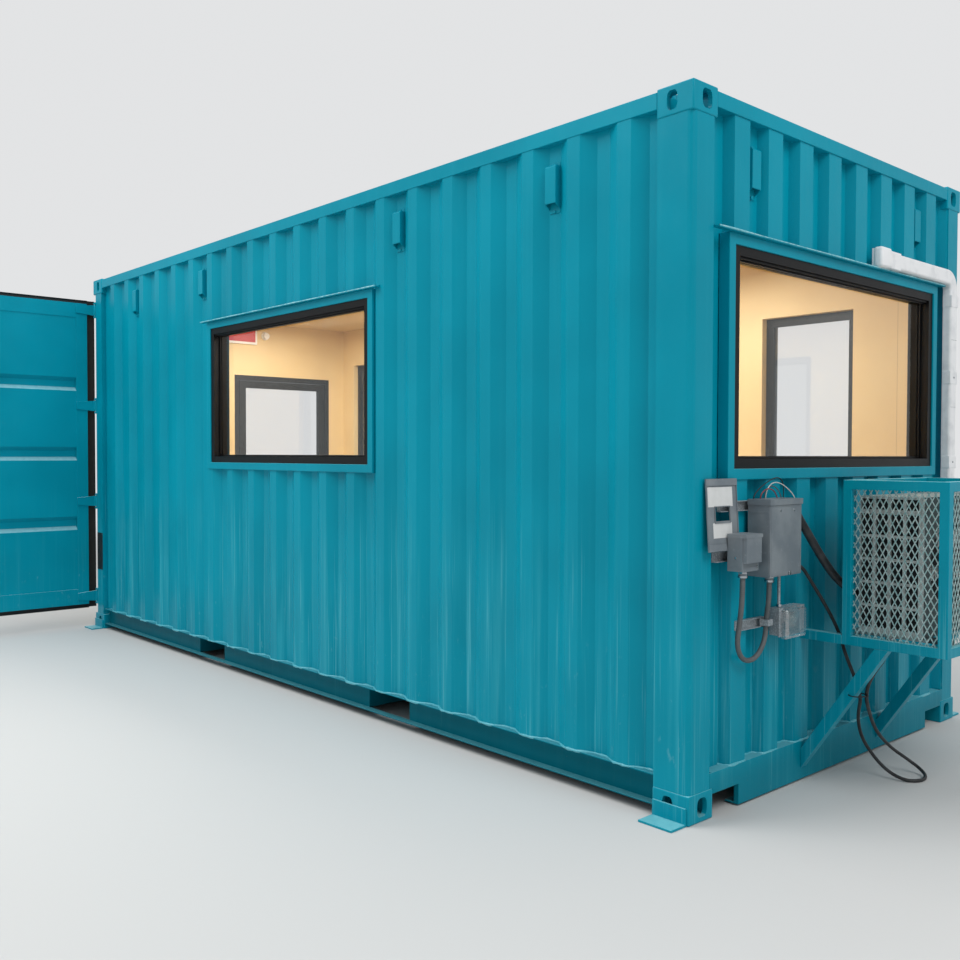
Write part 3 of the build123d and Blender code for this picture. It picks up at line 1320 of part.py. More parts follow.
pieces = {
    "corner_castings": corner_castings.part,
    "angle_feet": angle_feet.part,
    "front_corner_posts": front_corner_posts.part,
    "rear_corner_posts": rear_corner_posts.part,
    "bottom_side_rails": bottom_side_rails.part,
    "top_side_rails": top_side_rails.part,
    "front_top_rail": front_top_rail.part,
    "front_bottom_rail": front_bottom_rail.part,
    "door_sill": door_sill.part,
    "door_header": door_header.part,
    "near_side_wall": near_side_wall.part,
    "far_side_wall": far_side_wall.part,
    "blank_end_wall": blank_end_wall.part,
    "roof_sheet": roof_sheet.part,
    "floor_cross_members": floor_cross_members.part,
    "fork_pocket_tunnels": fork_pocket_tunnels.part,
    "floor_deck": floor_deck.part,
    "near_side_lining": near_side_lining.part,
    "far_side_lining": far_side_lining.part,
    "end_lining": end_lining.part,
    "ceiling_panel": ceiling_panel.part,
    "inner_end_wall_near": inner_end_wall_near.part,
    "inner_end_wall_far": inner_end_wall_far.part,
    "inner_end_wall_over_door": inner_end_wall_over_door.part,
    "window_surrounds": window_surrounds.part,
    "window_flashings": window_flashings.part,
    "window_frames": window_frames.part,
    "window_glass": window_glass.part,
    "vent_covers": vent_covers.part,
    "glazed_door_frame": glazed_door_frame.part,
    "glazed_door_leaf": glazed_door_leaf.part,
    "glazed_door_glass": glazed_door_glass.part,
    "cage_frame": cage_frame.part,
    "cage_mesh": cage_mesh.part,
    "cage_brackets": cage_brackets.part,
    "condenser_unit": condenser_unit.part,
    "gear_struts": gear_struts.part,
    "switch_boxes": switch_boxes.part,
    "junction_box": junction_box.part,
    "hanging_cover": hanging_cover.part,
    "line_set_cover": line_set_cover.part,
    "conduit_loop": conduit_loop.part,
    "supply_conduit": supply_conduit.part,
    "cage_cable": cage_cable.part,
    "exit_sign": exit_sign.part,
    "safety_lamp": safety_lamp.part,
}
pieces.update(leaf_parts)
for name, piece in pieces.items():
    piece.label = name
    export_step(piece, f"parts/{name}.step")
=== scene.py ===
"""Looks of the container office: camera, light, finishes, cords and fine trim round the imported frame."""
import json
import math
import random

import bmesh
import bpy
from mathutils import Matrix, Vector


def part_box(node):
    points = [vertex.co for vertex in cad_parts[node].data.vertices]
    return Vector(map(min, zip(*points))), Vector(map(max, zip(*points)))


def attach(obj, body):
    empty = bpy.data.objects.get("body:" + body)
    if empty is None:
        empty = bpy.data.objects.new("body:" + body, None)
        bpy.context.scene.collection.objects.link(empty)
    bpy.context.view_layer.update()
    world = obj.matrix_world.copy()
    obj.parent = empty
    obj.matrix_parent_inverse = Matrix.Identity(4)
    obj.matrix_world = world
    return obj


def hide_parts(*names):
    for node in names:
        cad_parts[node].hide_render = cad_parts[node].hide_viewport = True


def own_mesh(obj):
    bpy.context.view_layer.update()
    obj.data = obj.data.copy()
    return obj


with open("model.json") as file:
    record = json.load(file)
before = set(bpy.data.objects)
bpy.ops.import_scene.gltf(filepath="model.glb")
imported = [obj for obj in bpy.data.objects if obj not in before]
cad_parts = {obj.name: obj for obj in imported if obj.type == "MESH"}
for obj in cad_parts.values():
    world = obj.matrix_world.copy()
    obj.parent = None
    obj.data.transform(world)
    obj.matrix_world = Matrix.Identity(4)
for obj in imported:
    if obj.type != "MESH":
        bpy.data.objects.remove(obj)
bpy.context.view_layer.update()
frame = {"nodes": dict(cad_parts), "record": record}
nodes = frame["nodes"]
scene = bpy.context.scene

# Camera: where the photograph was taken from, at eye height beside the blank end's near corner, turned
# and tilted as its casting corners give it.
AZIMUTH, PITCH, ROLL = math.radians(47.981), math.radians(-1.454), math.radians(0.128)
CAMERA_PLACE = (5.3208, -4.3799, 1.4503)
ahead = Vector((-math.sin(AZIMUTH) * math.cos(PITCH), math.cos(AZIMUTH) * math.cos(PITCH), math.sin(PITCH)))
level = Vector((math.cos(AZIMUTH), math.sin(AZIMUTH), 0))
upright = level.cross(ahead)
right = math.cos(ROLL) * level + math.sin(ROLL) * upright
above = math.cos(ROLL) * upright - math.sin(ROLL) * level
lens = bpy.data.cameras.new("camera")
lens.lens = 37.10
lens.sensor_width = 36
lens.clip_end = 100
camera = bpy.data.objects.new("camera", lens)
rows = [(right[i], above[i], -ahead[i], CAMERA_PLACE[i]) for i in range(3)]
camera.matrix_world = Matrix(rows + [(0, 0, 0, 1)])
scene.collection.objects.link(camera)
scene.camera = camera
scene.view_settings.view_transform = "Standard"


# Studio: a pale floor that takes the shadow, an even sky, and three soft lamps outside. One more soft
# lamp hangs under the room's ceiling, as the office is lit from inside.
class Wire:
    """A node's output. Arithmetic on it adds Math nodes to the same material."""

    def __init__(self, finish, socket):
        self.finish, self.socket = finish, socket

    def math(self, operation, *values):
        return self.finish.node("ShaderNodeMath", {"operation": operation}, dict(enumerate(values)))

    def __add__(self, other):
        return self.math("ADD", self, other)

    def __radd__(self, other):
        return self.math("ADD", other, self)

    def __sub__(self, other):
        return self.math("SUBTRACT", self, other)

    def __rsub__(self, other):
        return self.math("SUBTRACT", other, self)

    def __mul__(self, other):
        return self.math("MULTIPLY", self, other)

    def __rmul__(self, other):
        return self.math("MULTIPLY", other, self)

    def __gt__(self, other):
        return self.math("GREATER_THAN", self, other)

    def __pow__(self, other):
        return self.math("POWER", self, other)

    def wave(self):
        return self.math("SINE", self)

    def between(self, low, high):
        """0 below low, 1 above high, smooth in between."""
        steps = {0: self, 1: low, 2: high, 3: 0.0, 4: 1.0}
        return self.finish.node("ShaderNodeMapRange", {"interpolation_type": "SMOOTHSTEP"}, steps)


def paint(red, green, blue):
    """A paint chart colour, 0 to 255, as the linear colour that the shader takes."""
    chart = [c / 255 for c in (red, green, blue)]
    return (*(c / 12.92 if c <= 10 / 255 else ((c + 0.055) / 1.055) ** 2.4 for c in chart), 1.0)


class Finish:
    """A Principled material under construction."""

    def __init__(self, name, **constants):
        self.material = bpy.data.materials.new(name)
        self.material.use_nodes = True
        self.tree = self.material.node_tree
        self.shader = self.tree.nodes["Principled BSDF"]
        for socket, value in constants.items():
            self.shader.inputs[socket.replace("_", " ")].default_value = value

    def node(self, kind, settings=None, inputs=None, out=0):
        made = self.tree.nodes.new(kind)
        for key, value in (settings or {}).items():
            setattr(made, key, value)
        for key, value in (inputs or {}).items():
            if isinstance(value, Wire):
                self.tree.links.new(value.socket, made.inputs[key])
            else:
                made.inputs[key].default_value = value
        return Wire(self, made.outputs[out])

    def place(self):
        """Position in the row frame, in metres."""
        return self.node("ShaderNodeTexCoord", out=3)

    def split(self, vector):
        parts = self.node("ShaderNodeSeparateXYZ", None, {0: vector}).socket.node
        return [Wire(self, parts.outputs[i]) for i in range(3)]

    def noise(self, vector, scale, detail=3.0, stretch=(1, 1, 1)):
        turned = self.node("ShaderNodeMapping", None, {0: vector, 3: stretch})
        return self.node("ShaderNodeTexNoise", None, {"Vector": turned, 2: scale, 3: detail, 4: 0.55})

    def mix(self, factor, first, second):
        return self.node("ShaderNodeMix", {"data_type": "RGBA"}, {0: factor, 6: first, 7: second}, out=2)

    def bump(self, height, depth):
        """Height from 0 to 1 as a relief of that depth in metres."""
        return self.node("ShaderNodeBump", None, {"Strength": 1.0, "Distance": depth, "Height": height})

    def set(self, **wires):
        for socket, value in wires.items():
            self.tree.links.new(value.socket, self.shader.inputs[socket.replace("_", " ")])
        return self.material


BACKDROP = (0.90, 0.91, 0.92, 1)
BACKDROP_LIGHT = 0.85
# Where the floor fades into the backdrop, from its middle, and half its width
HAZE_START, HAZE_END, FLOOR_HALF = 7.0, 17.0, 40
matte = Finish("studio_floor", Roughness=0.9, Base_Color=(0.60, 0.60, 0.59, 1))
reach = matte.node("ShaderNodeVectorMath", {"operation": "LENGTH"}, {0: matte.place()}, out=1)
haze = matte.node("ShaderNodeEmission", None, {0: BACKDROP, 1: BACKDROP_LIGHT})
lit = Wire(matte, matte.shader.outputs[0])
fade = {0: reach.between(HAZE_START, HAZE_END), 1: lit, 2: haze}
ground = matte.node("ShaderNodeMixShader", None, fade)
matte.tree.links.new(ground.socket, matte.tree.nodes["Material Output"].inputs[0])
bm = bmesh.new()
bmesh.ops.create_grid(bm, x_segments=1, y_segments=1, size=FLOOR_HALF)
floor_mesh = bpy.data.meshes.new("studio_floor")
bm.to_mesh(floor_mesh)
bm.free()
floor = bpy.data.objects.new("studio_floor", floor_mesh)
floor_mesh.materials.append(matte.material)
scene.collection.objects.link(floor)

world = bpy.data.worlds.new("studio")
world.use_nodes = True
tree = world.node_tree
sky = tree.nodes["Background"]
sky.inputs[0].default_value = (0.93, 0.95, 0.97, 1)
sky.inputs[1].default_value = 0.58
backdrop = tree.nodes.new("ShaderNodeBackground")
backdrop.inputs[0].default_value = BACKDROP
backdrop.inputs[1].default_value = BACKDROP_LIGHT
rays = tree.nodes.new("ShaderNodeLightPath")
seen = tree.nodes.new("ShaderNodeMath")
seen.operation = "MAXIMUM"
chosen = tree.nodes.new("ShaderNodeMixShader")
for start, end in (
    (rays.outputs["Is Camera Ray"], seen.inputs[0]), (rays.outputs["Is Transmission Ray"], seen.inputs[1]),
    (seen.outputs[0], chosen.inputs[0]), (sky.outputs[0], chosen.inputs[1]),
    (backdrop.outputs[0], chosen.inputs[2]), (chosen.outputs[0], tree.nodes["World Output"].inputs[0]),
):
    tree.links.new(start, end)
scene.world = world

for name, place, aim, size, power in (
    ("key", (-2.0, -6.5, 8.5), (0, 0, 1.0), 5.0, 400),
    ("end", (8.0, -1.5, 7.5), (2.5, 0, 1.0), 4.0, 260),
    ("top", (-1.0, -0.5, 8.0), (-1.0, -0.5, 0), 9.0, 300),
    ("room", (0.0, 0.0, 2.6), (0, 0, 0), 1.6, 122),
):
    lamp = bpy.data.lights.new(name, "AREA")
    lamp.size = size
    lamp.energy = power
    if name == "room":
        lamp.shape = "RECTANGLE"
        lamp.size, lamp.size_y = 4.6, 1.2
        lamp.color = (1.0, 0.97, 0.92)
    shine = bpy.data.objects.new(name, lamp)
    shine.location = place
    shine.rotation_mode = "QUATERNION"
    shine.rotation_quaternion = (Vector(aim) - Vector(place)).to_track_quat("-Z", "Y")
    scene.collection.objects.link(shine)


# Flexible conduits and the cable: PVC-sheathed steel conduit with a faint spiral, and a rubber cable
# that hangs from the near brace in a loop lying on the ground. All three end in fixed glands.
def cord_finish(name, colour, rings, dull):
    """A sheath in its colour, with so many rings to the radian of its length, dusty in places."""
    finish = Finish(name)
    place = finish.place()
    along = finish.split(finish.node("ShaderNodeTexCoord", out=2))[0]
    grime = finish.noise(place, 22, 4)
    ridge = (along * rings).wave() * 0.5 + 0.5
    dark = tuple(c * 0.6 for c in colour[:3]) + (1,)
    dust = tuple(c * 0.85 + 0.03 for c in colour[:3]) + (1,)
    tone = finish.mix(grime.between(0.35, 0.75), finish.mix(ridge * 0.35, colour, dark), dust)
    return finish.set(
        Base_Color=tone,
        Roughness=grime * 0.25 + dull,
        Normal=finish.bump(ridge * 0.8 + finish.noise(place, 160) * 0.2, 0.0006),
    )


def rider(name, data, body="container"):
    """A mesh or curve as an object that rides on a body."""
    made = bpy.data.objects.new(name, data)
    scene.collection.objects.link(made)
    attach(made, body)
    return made


def round_line(name, kind, route, radius, facets, finish, steps=12):
    """A round curve and its one spline, along a route."""
    data = bpy.data.curves.new(name, "CURVE")
    data.dimensions = "3D"
    data.bevel_depth = radius
    data.bevel_resolution = facets
    data.resolution_u = steps
    data.materials.append(finish)
    spline = data.splines.new(kind)
    spline.points.add(len(route) - 1)
    for point, place in zip(spline.points, route):
        point.co = (*place, 1)
    return data, spline


def cord_curve(name, route, thick, sheath, slot, length=None, order=3, facets=5, steps=10, **facts):
    """A cord along its route. Its length, given or else as it comes out, is worked out but not used."""
    data, spline = round_line(name, "NURBS", route, thick / 2, facets, sheath, steps)
    data.use_fill_caps = True
    spline.order_u = order
    spline.use_endpoint_u = True
    made = rider(name, data)
    length = spline.calc_length() if length is None else length
    return made


CONDUIT_THICK, CONDUIT_LENGTH = 0.021, 0.849
SUPPLY_THICK, SUPPLY_LENGTH = 0.036, 0.605
CABLE_THICK, CABLE_LENGTH = 0.015, 2.489
conduit = cord_curve(
    "conduit_loop_sheath",
    [
        (3.095, -0.766, 0.938), (3.095, -0.766, 0.858), (3.057, -0.724, 0.775), (3.053, -0.724, 0.676),
        (3.052, -0.791, 0.607), (3.053, -0.885, 0.607), (3.062, -0.950, 0.676), (3.077, -0.951, 0.778),
        (3.101, -0.970, 0.880), (3.101, -0.970, 0.972),
    ],
    CONDUIT_THICK, cord_finish("conduit_sheath", paint(92, 97, 99), 900, 0.42), "conduit_grey",
    CONDUIT_LENGTH, stiffness="stiff", lay="hanging",
)
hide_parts("conduit_loop")
supply = cord_curve(
    "supply_conduit_sheath",
    [
        (3.080, -0.562, 1.228), (3.086, -0.468, 1.132), (3.104, -0.360, 1.000), (3.148, -0.290, 0.893),
        (3.214, -0.228, 0.835), (3.254, -0.192, 0.812),
    ],
    SUPPLY_THICK, cord_finish("supply_sheath", paint(40, 43, 46), 420, 0.4), "conduit_grey",
    SUPPLY_LENGTH, stiffness="stiff", lay="hanging",
)
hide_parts("supply_conduit")
cable = cord_curve(
    "cage_cable_sheath",
    [
        (3.085, -0.585, 0.990), (3.085, -0.512, 0.990), (3.093, -0.418, 0.893), (3.120, -0.322, 0.765),
        (3.152, -0.290, 0.672), (3.200, -0.321, 0.580), (3.258, -0.330, 0.472), (3.266, -0.310, 0.398),
        (3.225, -0.245, 0.342), (3.180, -0.165, 0.260), (3.163, -0.092, 0.165), (3.200, -0.058, 0.086),
        (3.268, -0.060, 0.032), (3.348, -0.058, 0.008), (3.396, -0.008, 0.008), (3.394, 0.058, 0.010),
        (3.346, 0.104, 0.026), (3.280, 0.098, 0.062), (3.240, 0.040, 0.110), (3.243, -0.062, 0.176),
        (3.262, -0.176, 0.250), (3.290, -0.288, 0.352), (3.296, -0.328, 0.428), (3.322, -0.329, 0.512),
        (3.395, -0.324, 0.617), (3.395, -0.324, 0.685),
    ],
    CABLE_THICK, cord_finish("cable_sheath", paint(34, 35, 37), 160, 0.45), "cable_black",
    CABLE_LENGTH, stiffness="medium", lay="loose",
)
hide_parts("cage_cable")

# Painted steel: every pressed, folded or cast steel piece of the box under one coat of teal gloss. It is
# rolled on, so it has a faint orange peel, patches of tone and dull smears. Painted shade darkens the
# lowest members near the ground; up-facing faces are lightened by dust and painted highlight, and pale
# streaks lower down are roller marks with painted highlight.
TEAL, TEAL_DEEP = paint(0, 149, 172), paint(0, 138, 160)
# The first is the teal of lit faces, a painted highlight; the second is paint whitened by rubbing, also used
# for the drip edges' painted highlight.
TEAL_LIT, TEAL_WHITENED = paint(58, 170, 188), paint(96, 184, 198)
DRY_MUD, GROUND_SHADE, BARE_CHIP = paint(140, 196, 202), paint(0, 58, 68), paint(96, 88, 82)
# Up-facing faces: the first colour is dust with painted highlight, the second a bright painted highlight
# (glint).
LEDGE_DUST_AND_HIGHLIGHT, LEDGE_SHINE = paint(128, 200, 208), paint(206, 244, 244)


def teal_coat(name, low_shade, gloss=0.12, pale_marks=1.0, ledge=LEDGE_DUST_AND_HIGHLIGHT):
    """The coat of paint, with its painted shade near the ground, its gloss, the strength of its pale streaks
    and scratches, and the colour of its up-facing faces given.
    """
    teal = Finish(name, Specular_IOR_Level=gloss)
    where = teal.place()
    height = teal.split(where)[2]
    facing_up = teal.split(teal.node("ShaderNodeTexCoord", out=1))[2]
    patches = teal.noise(where, 1.3, 2)
    streaks = teal.noise(where, 22.0, 3, (1, 1, 0.03))
    scratches = teal.noise(where, 110.0, 4, (1, 1, 0.012))
    smears = teal.noise(where, 34.0, 5, (1, 1, 0.5))
    chips = teal.noise(where, 120.0, 2).between(0.74, 0.78)
    tone = teal.mix(patches.between(0.3, 0.7), TEAL_DEEP, TEAL)
    unshaded = 1.0 - low_shade
    low = 1.0 - height.between(0.55, 1.35)
    # Pale vertical streaks lower down in the lit teal: roller marks, and painted highlight of the light
    # thrown up from the floor.
    tone = teal.mix(streaks.between(0.48, 0.75) * (low * 0.4 + 0.07) * (unshaded * pale_marks), tone, TEAL_LIT)
    scratched = scratches.between(0.56, 0.70) * streaks.between(0.35, 0.6) * low
    tone = teal.mix(scratched * (0.6 * unshaded * pale_marks), tone, TEAL_WHITENED)
    dried = smears.between(0.62, 0.8) * (1.0 - height.between(0.1, 0.9)) * (0.25 * unshaded)
    tone = teal.mix(dried, tone, DRY_MUD)
    # Painted shade: darker towards the ground, in the strength given.
    tone = teal.mix((1.0 - height.between(0.10, 0.24)) * low_shade, tone, GROUND_SHADE)
    # Faces that look up are lightened: dust, and painted highlight of the lamps overhead.
    ledge_dust_and_highlight = facing_up.between(0.6, 0.9) * (1.0 - height.between(2.5, 2.6))
    tone = teal.mix(ledge_dust_and_highlight * (smears * 0.5 + 0.45) * unshaded, tone, ledge)
    low_chips = chips * (1.0 - height.between(0.1, 0.5))
    tone = teal.mix(low_chips * 0.7, tone, BARE_CHIP)
    dull = patches * 0.10 + smears.between(0.4, 0.8) * 0.12 + 0.26
    peel = teal.bump(teal.noise(where, 260.0, 1), 0.00022)
    dents = {"Strength": 1.0, "Distance": 0.0025, "Height": teal.noise(where, 5.0, 1), "Normal": peel}
    return teal.set(Base_Color=tone, Roughness=dull, Normal=teal.node("ShaderNodeBump", None, dents))


def dress(name, finish):
    """One solid's node in its finish."""
    nodes[name].data.materials.clear()
    nodes[name].data.materials.append(finish)


def dress_slots(finishes):
    """Every node whose slot has a finish here, in that finish."""
    for entry in frame["record"]["subparts"]:
        if entry["material_slot"] in finishes:
            dress(entry["node"], finishes[entry["material_slot"]])


MERGE = 0.00005


def soften_edges(names, radius):
    """A small radius on the sharp edges of solids, as folding and paint leave them."""
    for name in names:
        weld = nodes[name].modifiers.new("weld", "WELD")
        weld.merge_threshold = MERGE
        soften = nodes[name].modifiers.new("soften", "BEVEL")
        soften.width = radius
        soften.segments = 2
        soften.limit_method = "ANGLE"
        soften.angle_limit = math.radians(40)


teal_paint = teal_coat("teal_gloss_paint", 0.0)
# The lowest members take painted shade near the ground; the end rail less, as more light reaches it.
shaded_low_paint = teal_coat("teal_paint_low_down", 0.66, 0.05)
end_rail_paint = teal_coat("teal_paint_end_rail", 0.28, 0.10)
# The cargo leaves take a bright painted highlight on their up-facing ledges, and few streaks.
leaf_paint = teal_coat("teal_paint_cargo_leaf", 0.0, pale_marks=0.2, ledge=LEDGE_SHINE)
dress_slots({"teal_paint": teal_paint})
for name in ("bottom_side_rails", "floor_cross_members", "fork_pocket_tunnels"):
    dress(name, shaded_low_paint)
dress("front_bottom_rail", end_rail_paint)
for name in ("near_leaf_frame", "near_leaf_panel", "far_leaf_frame", "far_leaf_panel"):
    dress(name, leaf_paint)
FOLD_RADIUS = 0.0025
soften_edges((
    "angle_feet", "bottom_side_rails", "front_bottom_rail", "top_side_rails", "front_top_rail",
    "window_surrounds", "cage_frame", "cage_brackets", "vent_covers", "near_leaf_frame", "far_leaf_frame",
), FOLD_RADIUS)


# Corner castings: hollow blocks of cast steel, each with an oblong hole in its level face and an upright
# one in both outer faces. The mould leaves their outer edges well rounded.
def block(bm, low, high):
    """A cuboid between two corners."""
    size = [abs(b - a) for a, b in zip(low, high)]
    middle = [(a + b) / 2 for a, b in zip(low, high)]
    return bmesh.ops.create_cube(bm, size=1, matrix=Matrix.Translation(middle) @ Matrix.Diagonal((*size, 1)))


def round_off(bm, edges, radius, segments=2):
    """The edges of the bmesh, rounded."""
    return bmesh.ops.bevel(
        bm, geom=edges, offset=radius, offset_type="OFFSET", segments=segments, profile=0.5, affect="EDGES",
        material=-1, clamp_overlap=True,
    )


def piece(bm, name, material, body="container", round_edges=0.0, smooth=False):
    """The bmesh as a finished piece that rides on a body."""
    if round_edges:
        round_off(bm, bm.edges[:], round_edges)
    mesh = bpy.data.meshes.new(name)
    bm.to_mesh(mesh)
    bm.free()
    mesh.materials.append(material)
    if smooth:
        mesh.shade_smooth()
    return rider(name, mesh, body)


CAST_LONG, CAST_WIDE, CAST_HIGH, CAST_WALL = 0.178, 0.162, 0.118, 0.020
CAST_EDGE_ROUND = 0.006
# Holes of the outer faces: how far in from the casting's ends, half sizes as the solids have them lying,
# and half sizes as they stand upright. The last value is the power that rounds an oblong's corners.
HOLE_IN_X, HOLE_IN_Y = 0.1025, 0.0895
LYING_LONG, LYING_HIGH = 0.0395, 0.0255
SIDE_HOLE_HALF, END_HOLE_HALF, HOLE_UP = 0.0255, 0.0318, 0.0385
HOLE_CORNER = 3.2
SLACK, CORNER_SLACK, SHORTEST_EDGE = 0.0001, 0.0002, 0.001
box_x, box_y, box_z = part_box("corner_castings")[1]
bm = bmesh.new()
bm.from_mesh(nodes["corner_castings"].data)
bmesh.ops.remove_doubles(bm, verts=bm.verts[:], dist=MERGE)
for v in bm.verts:
    middle_z = CAST_HIGH / 2 if v.co.z < box_z / 2 else box_z - CAST_HIGH / 2
    up = v.co.z - middle_z
    for across, out, half_wide in ((0, 1, SIDE_HOLE_HALF), (1, 0, END_HOLE_HALF)):
        middle = math.copysign((box_x - HOLE_IN_X, box_y - HOLE_IN_Y)[across], v.co[across])
        aside = v.co[across] - middle
        in_wall = abs(v.co[out]) > (box_x, box_y)[out] - CAST_WALL - SLACK
        if in_wall and abs(aside) < LYING_LONG + SLACK and abs(up) < LYING_HIGH + SLACK:
            angle = math.atan2(up / LYING_HIGH, aside / LYING_LONG)
            bulge = abs(math.cos(angle)) ** HOLE_CORNER + abs(math.sin(angle)) ** HOLE_CORNER
            far = bulge ** (-1 / HOLE_CORNER)
            v.co[across] = middle + half_wide * math.cos(angle) * far
            v.co.z = middle_z + HOLE_UP * math.sin(angle) * far
outer_corner = {
    v for v in bm.verts
    if min(abs(abs(v.co.x) - box_x), abs(abs(v.co.x) - box_x + CAST_LONG)) < CORNER_SLACK
    and min(abs(abs(v.co.y) - box_y), abs(abs(v.co.y) - box_y + CAST_WIDE)) < CORNER_SLACK
    and min(abs(v.co.z - z) for z in (0, CAST_HIGH, box_z - CAST_HIGH, box_z)) < CORNER_SLACK
}
arrises = []
for edge in bm.edges:
    a, b = edge.verts
    if {a, b} <= outer_corner and sum(abs(a.co[i] - b.co[i]) > SHORTEST_EDGE for i in range(3)) == 1:
        arrises.append(edge)
for face in round_off(bm, arrises, CAST_EDGE_ROUND, 3)["faces"]:
    face.smooth = True
cast_blocks = piece(bm, "cast_corner_blocks", teal_paint)
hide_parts("corner_castings")


# Vent covers: pressed hoods over the air holes, set in the recesses of the walls. Each is held by a
# pan-head screw in its upper and its lower ear, and painted over with the wall.
def ring(bm, middle, axis, outer, long, sides, inner=0.0):
    """A turned collar with a softened rim, spun about its axis; without an inner radius, a stud."""
    rim = 0.12 * (outer - inner)
    outline = [
        (inner, -long / 2), (outer - rim, -long / 2), (outer, -long / 2 + rim), (outer, long / 2 - rim),
        (outer - rim, long / 2), (inner, long / 2),
    ]
    verts = [bm.verts.new((r, 0, h)) for r, h in outline]
    edges = [bm.edges.new((a, b)) for a, b in zip(verts, verts[1:] + verts[:1])]
    bmesh.ops.spin(
        bm, geom=verts + edges, cent=(0, 0, 0), axis=(0, 0, 1), angle=2 * math.pi, steps=sides, use_merge=True
    )
    fresh = set(verts)
    grow = list(verts)
    while grow:
        for edge in grow.pop().link_edges:
            for v in edge.verts:
                if v not in fresh:
                    fresh.add(v)
                    grow.append(v)
    bmesh.ops.recalc_face_normals(bm, faces=list({f for v in fresh for f in v.link_faces}))
    turn = Vector(axis).to_track_quat("Z", "Y").to_matrix().to_4x4()
    bmesh.ops.transform(bm, matrix=Matrix.Translation(middle) @ turn, verts=list(fresh))


# Corrugation of the long sides, and how far the first ridge starts from the blank end
SIDE_PITCH, SIDE_FLAT, SIDE_SLOPE, SIDE_DEEP, FIRST_RIDGE = 0.280, 0.072, 0.069, 0.036, 0.208
VENT_BAYS = (2, 6, 14, 18)
END_VENT_X, END_VENT_Y = 2.9835, 0.750
EAR, HEAD_R, HEAD_LONG, HEAD_OUT = 0.008, 0.0075, 0.009, 0.003
wall_low, wall_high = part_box("near_side_wall")
vent_low, vent_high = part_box("vent_covers")
bm = bmesh.new()
for y in (-END_VENT_Y, END_VENT_Y):
    for z in (vent_low.z + EAR, vent_high.z - EAR):
        ring(bm, (END_VENT_X, y, z), (1, 0, 0), HEAD_R, HEAD_LONG, 12)
for side in (-1, 1):
    for bay in VENT_BAYS:
        x = wall_high.x - FIRST_RIDGE - SIDE_PITCH * (bay - 1) - (SIDE_PITCH - SIDE_FLAT) / 2
        y = side * (abs(wall_low.y) - SIDE_DEEP + HEAD_OUT)
        for z in (vent_low.z + EAR, vent_high.z - EAR):
            ring(bm, (x, y, z), (0, side, 0), HEAD_R, HEAD_LONG, 12)
piece(bm, "vent_cover_screws", teal_paint)


# Weld seams and drip edges: a continuous bead where each corrugated wall meets its bottom rail, painted
# over with the box and paler than it as a painted highlight, and a pale bead along the folded front edge of
# both wide flashings, a painted highlight where the edge catches the light.
def bead_line(name, points, thick, finish):
    """A bead along a line of corners, slightly uneven as a hand weld is: the weld seams, and the painted
    highlight on the drip edges.
    """
    data, line = round_line(name, "POLY", points, thick, 1, finish)
    for point in line.points:
        point.radius = 0.6 + 0.7 * draw.random()
    rider(name, data)


def divided(points, step):
    """The same line with a point every step."""
    made = [points[0]]
    for a, b in zip(points, points[1:]):
        count = max(1, round((Vector(b) - Vector(a)).length / step))
        made += [tuple(Vector(a).lerp(Vector(b), (k + 1) / count)) for k in range(count)]
    return made


draw = random.Random(7)
# The bead is a paler teal than the wall: painted highlight where its top catches the light.
bead = Finish("lit_teal_over_weld", Specular_IOR_Level=0.5)
lumps = bead.noise(bead.place(), 70, 2)
weld_bead_highlight = bead.set(
    Base_Color=bead.mix(lumps, TEAL_LIT, paint(110, 190, 202)),
    Roughness=lumps * 0.2 + 0.2,
    Normal=bead.bump(lumps, 0.003),
)
SEAM_R, SEAM_STEP = 0.007, 0.025
SIDE_RIDGES, END_RIDGES = 20, 8
END_PITCH, END_FLAT, END_SLOPE, END_DEEP = 0.250, 0.110, 0.018, 0.0456
rail_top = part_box("bottom_side_rails")[1].z
for side, label in ((-1, "near"), (1, "far")):
    outer = side * abs(wall_low.y)
    deep = side * (abs(wall_low.y) - SIDE_DEEP)
    foot = [(wall_high.x, deep, rail_top)]
    for k in range(SIDE_RIDGES):
        left = wall_high.x - FIRST_RIDGE - SIDE_PITCH * k
        foot += [
            (left + SIDE_FLAT + SIDE_SLOPE, deep, rail_top), (left + SIDE_FLAT, outer, rail_top),
            (left, outer, rail_top), (left - SIDE_SLOPE, deep, rail_top),
        ]
    foot.append((wall_low.x, deep, rail_top))
    bead_line(f"{label}_wall_foot_weld", divided(foot, SEAM_STEP), SEAM_R, weld_bead_highlight)
end_low, end_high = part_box("blank_end_wall")
foot = []
for k in range(END_RIDGES):
    middle = END_PITCH * (k - (END_RIDGES - 1) / 2)
    for out, y in (
        (end_high.x - END_DEEP, middle - END_FLAT / 2 - END_SLOPE), (end_high.x, middle - END_FLAT / 2),
        (end_high.x, middle + END_FLAT / 2), (end_high.x - END_DEEP, middle + END_FLAT / 2 + END_SLOPE),
    ):
        foot.append((out, y, end_low.z))
bead_line("end_wall_foot_weld", divided(foot, SEAM_STEP), SEAM_R, weld_bead_highlight)
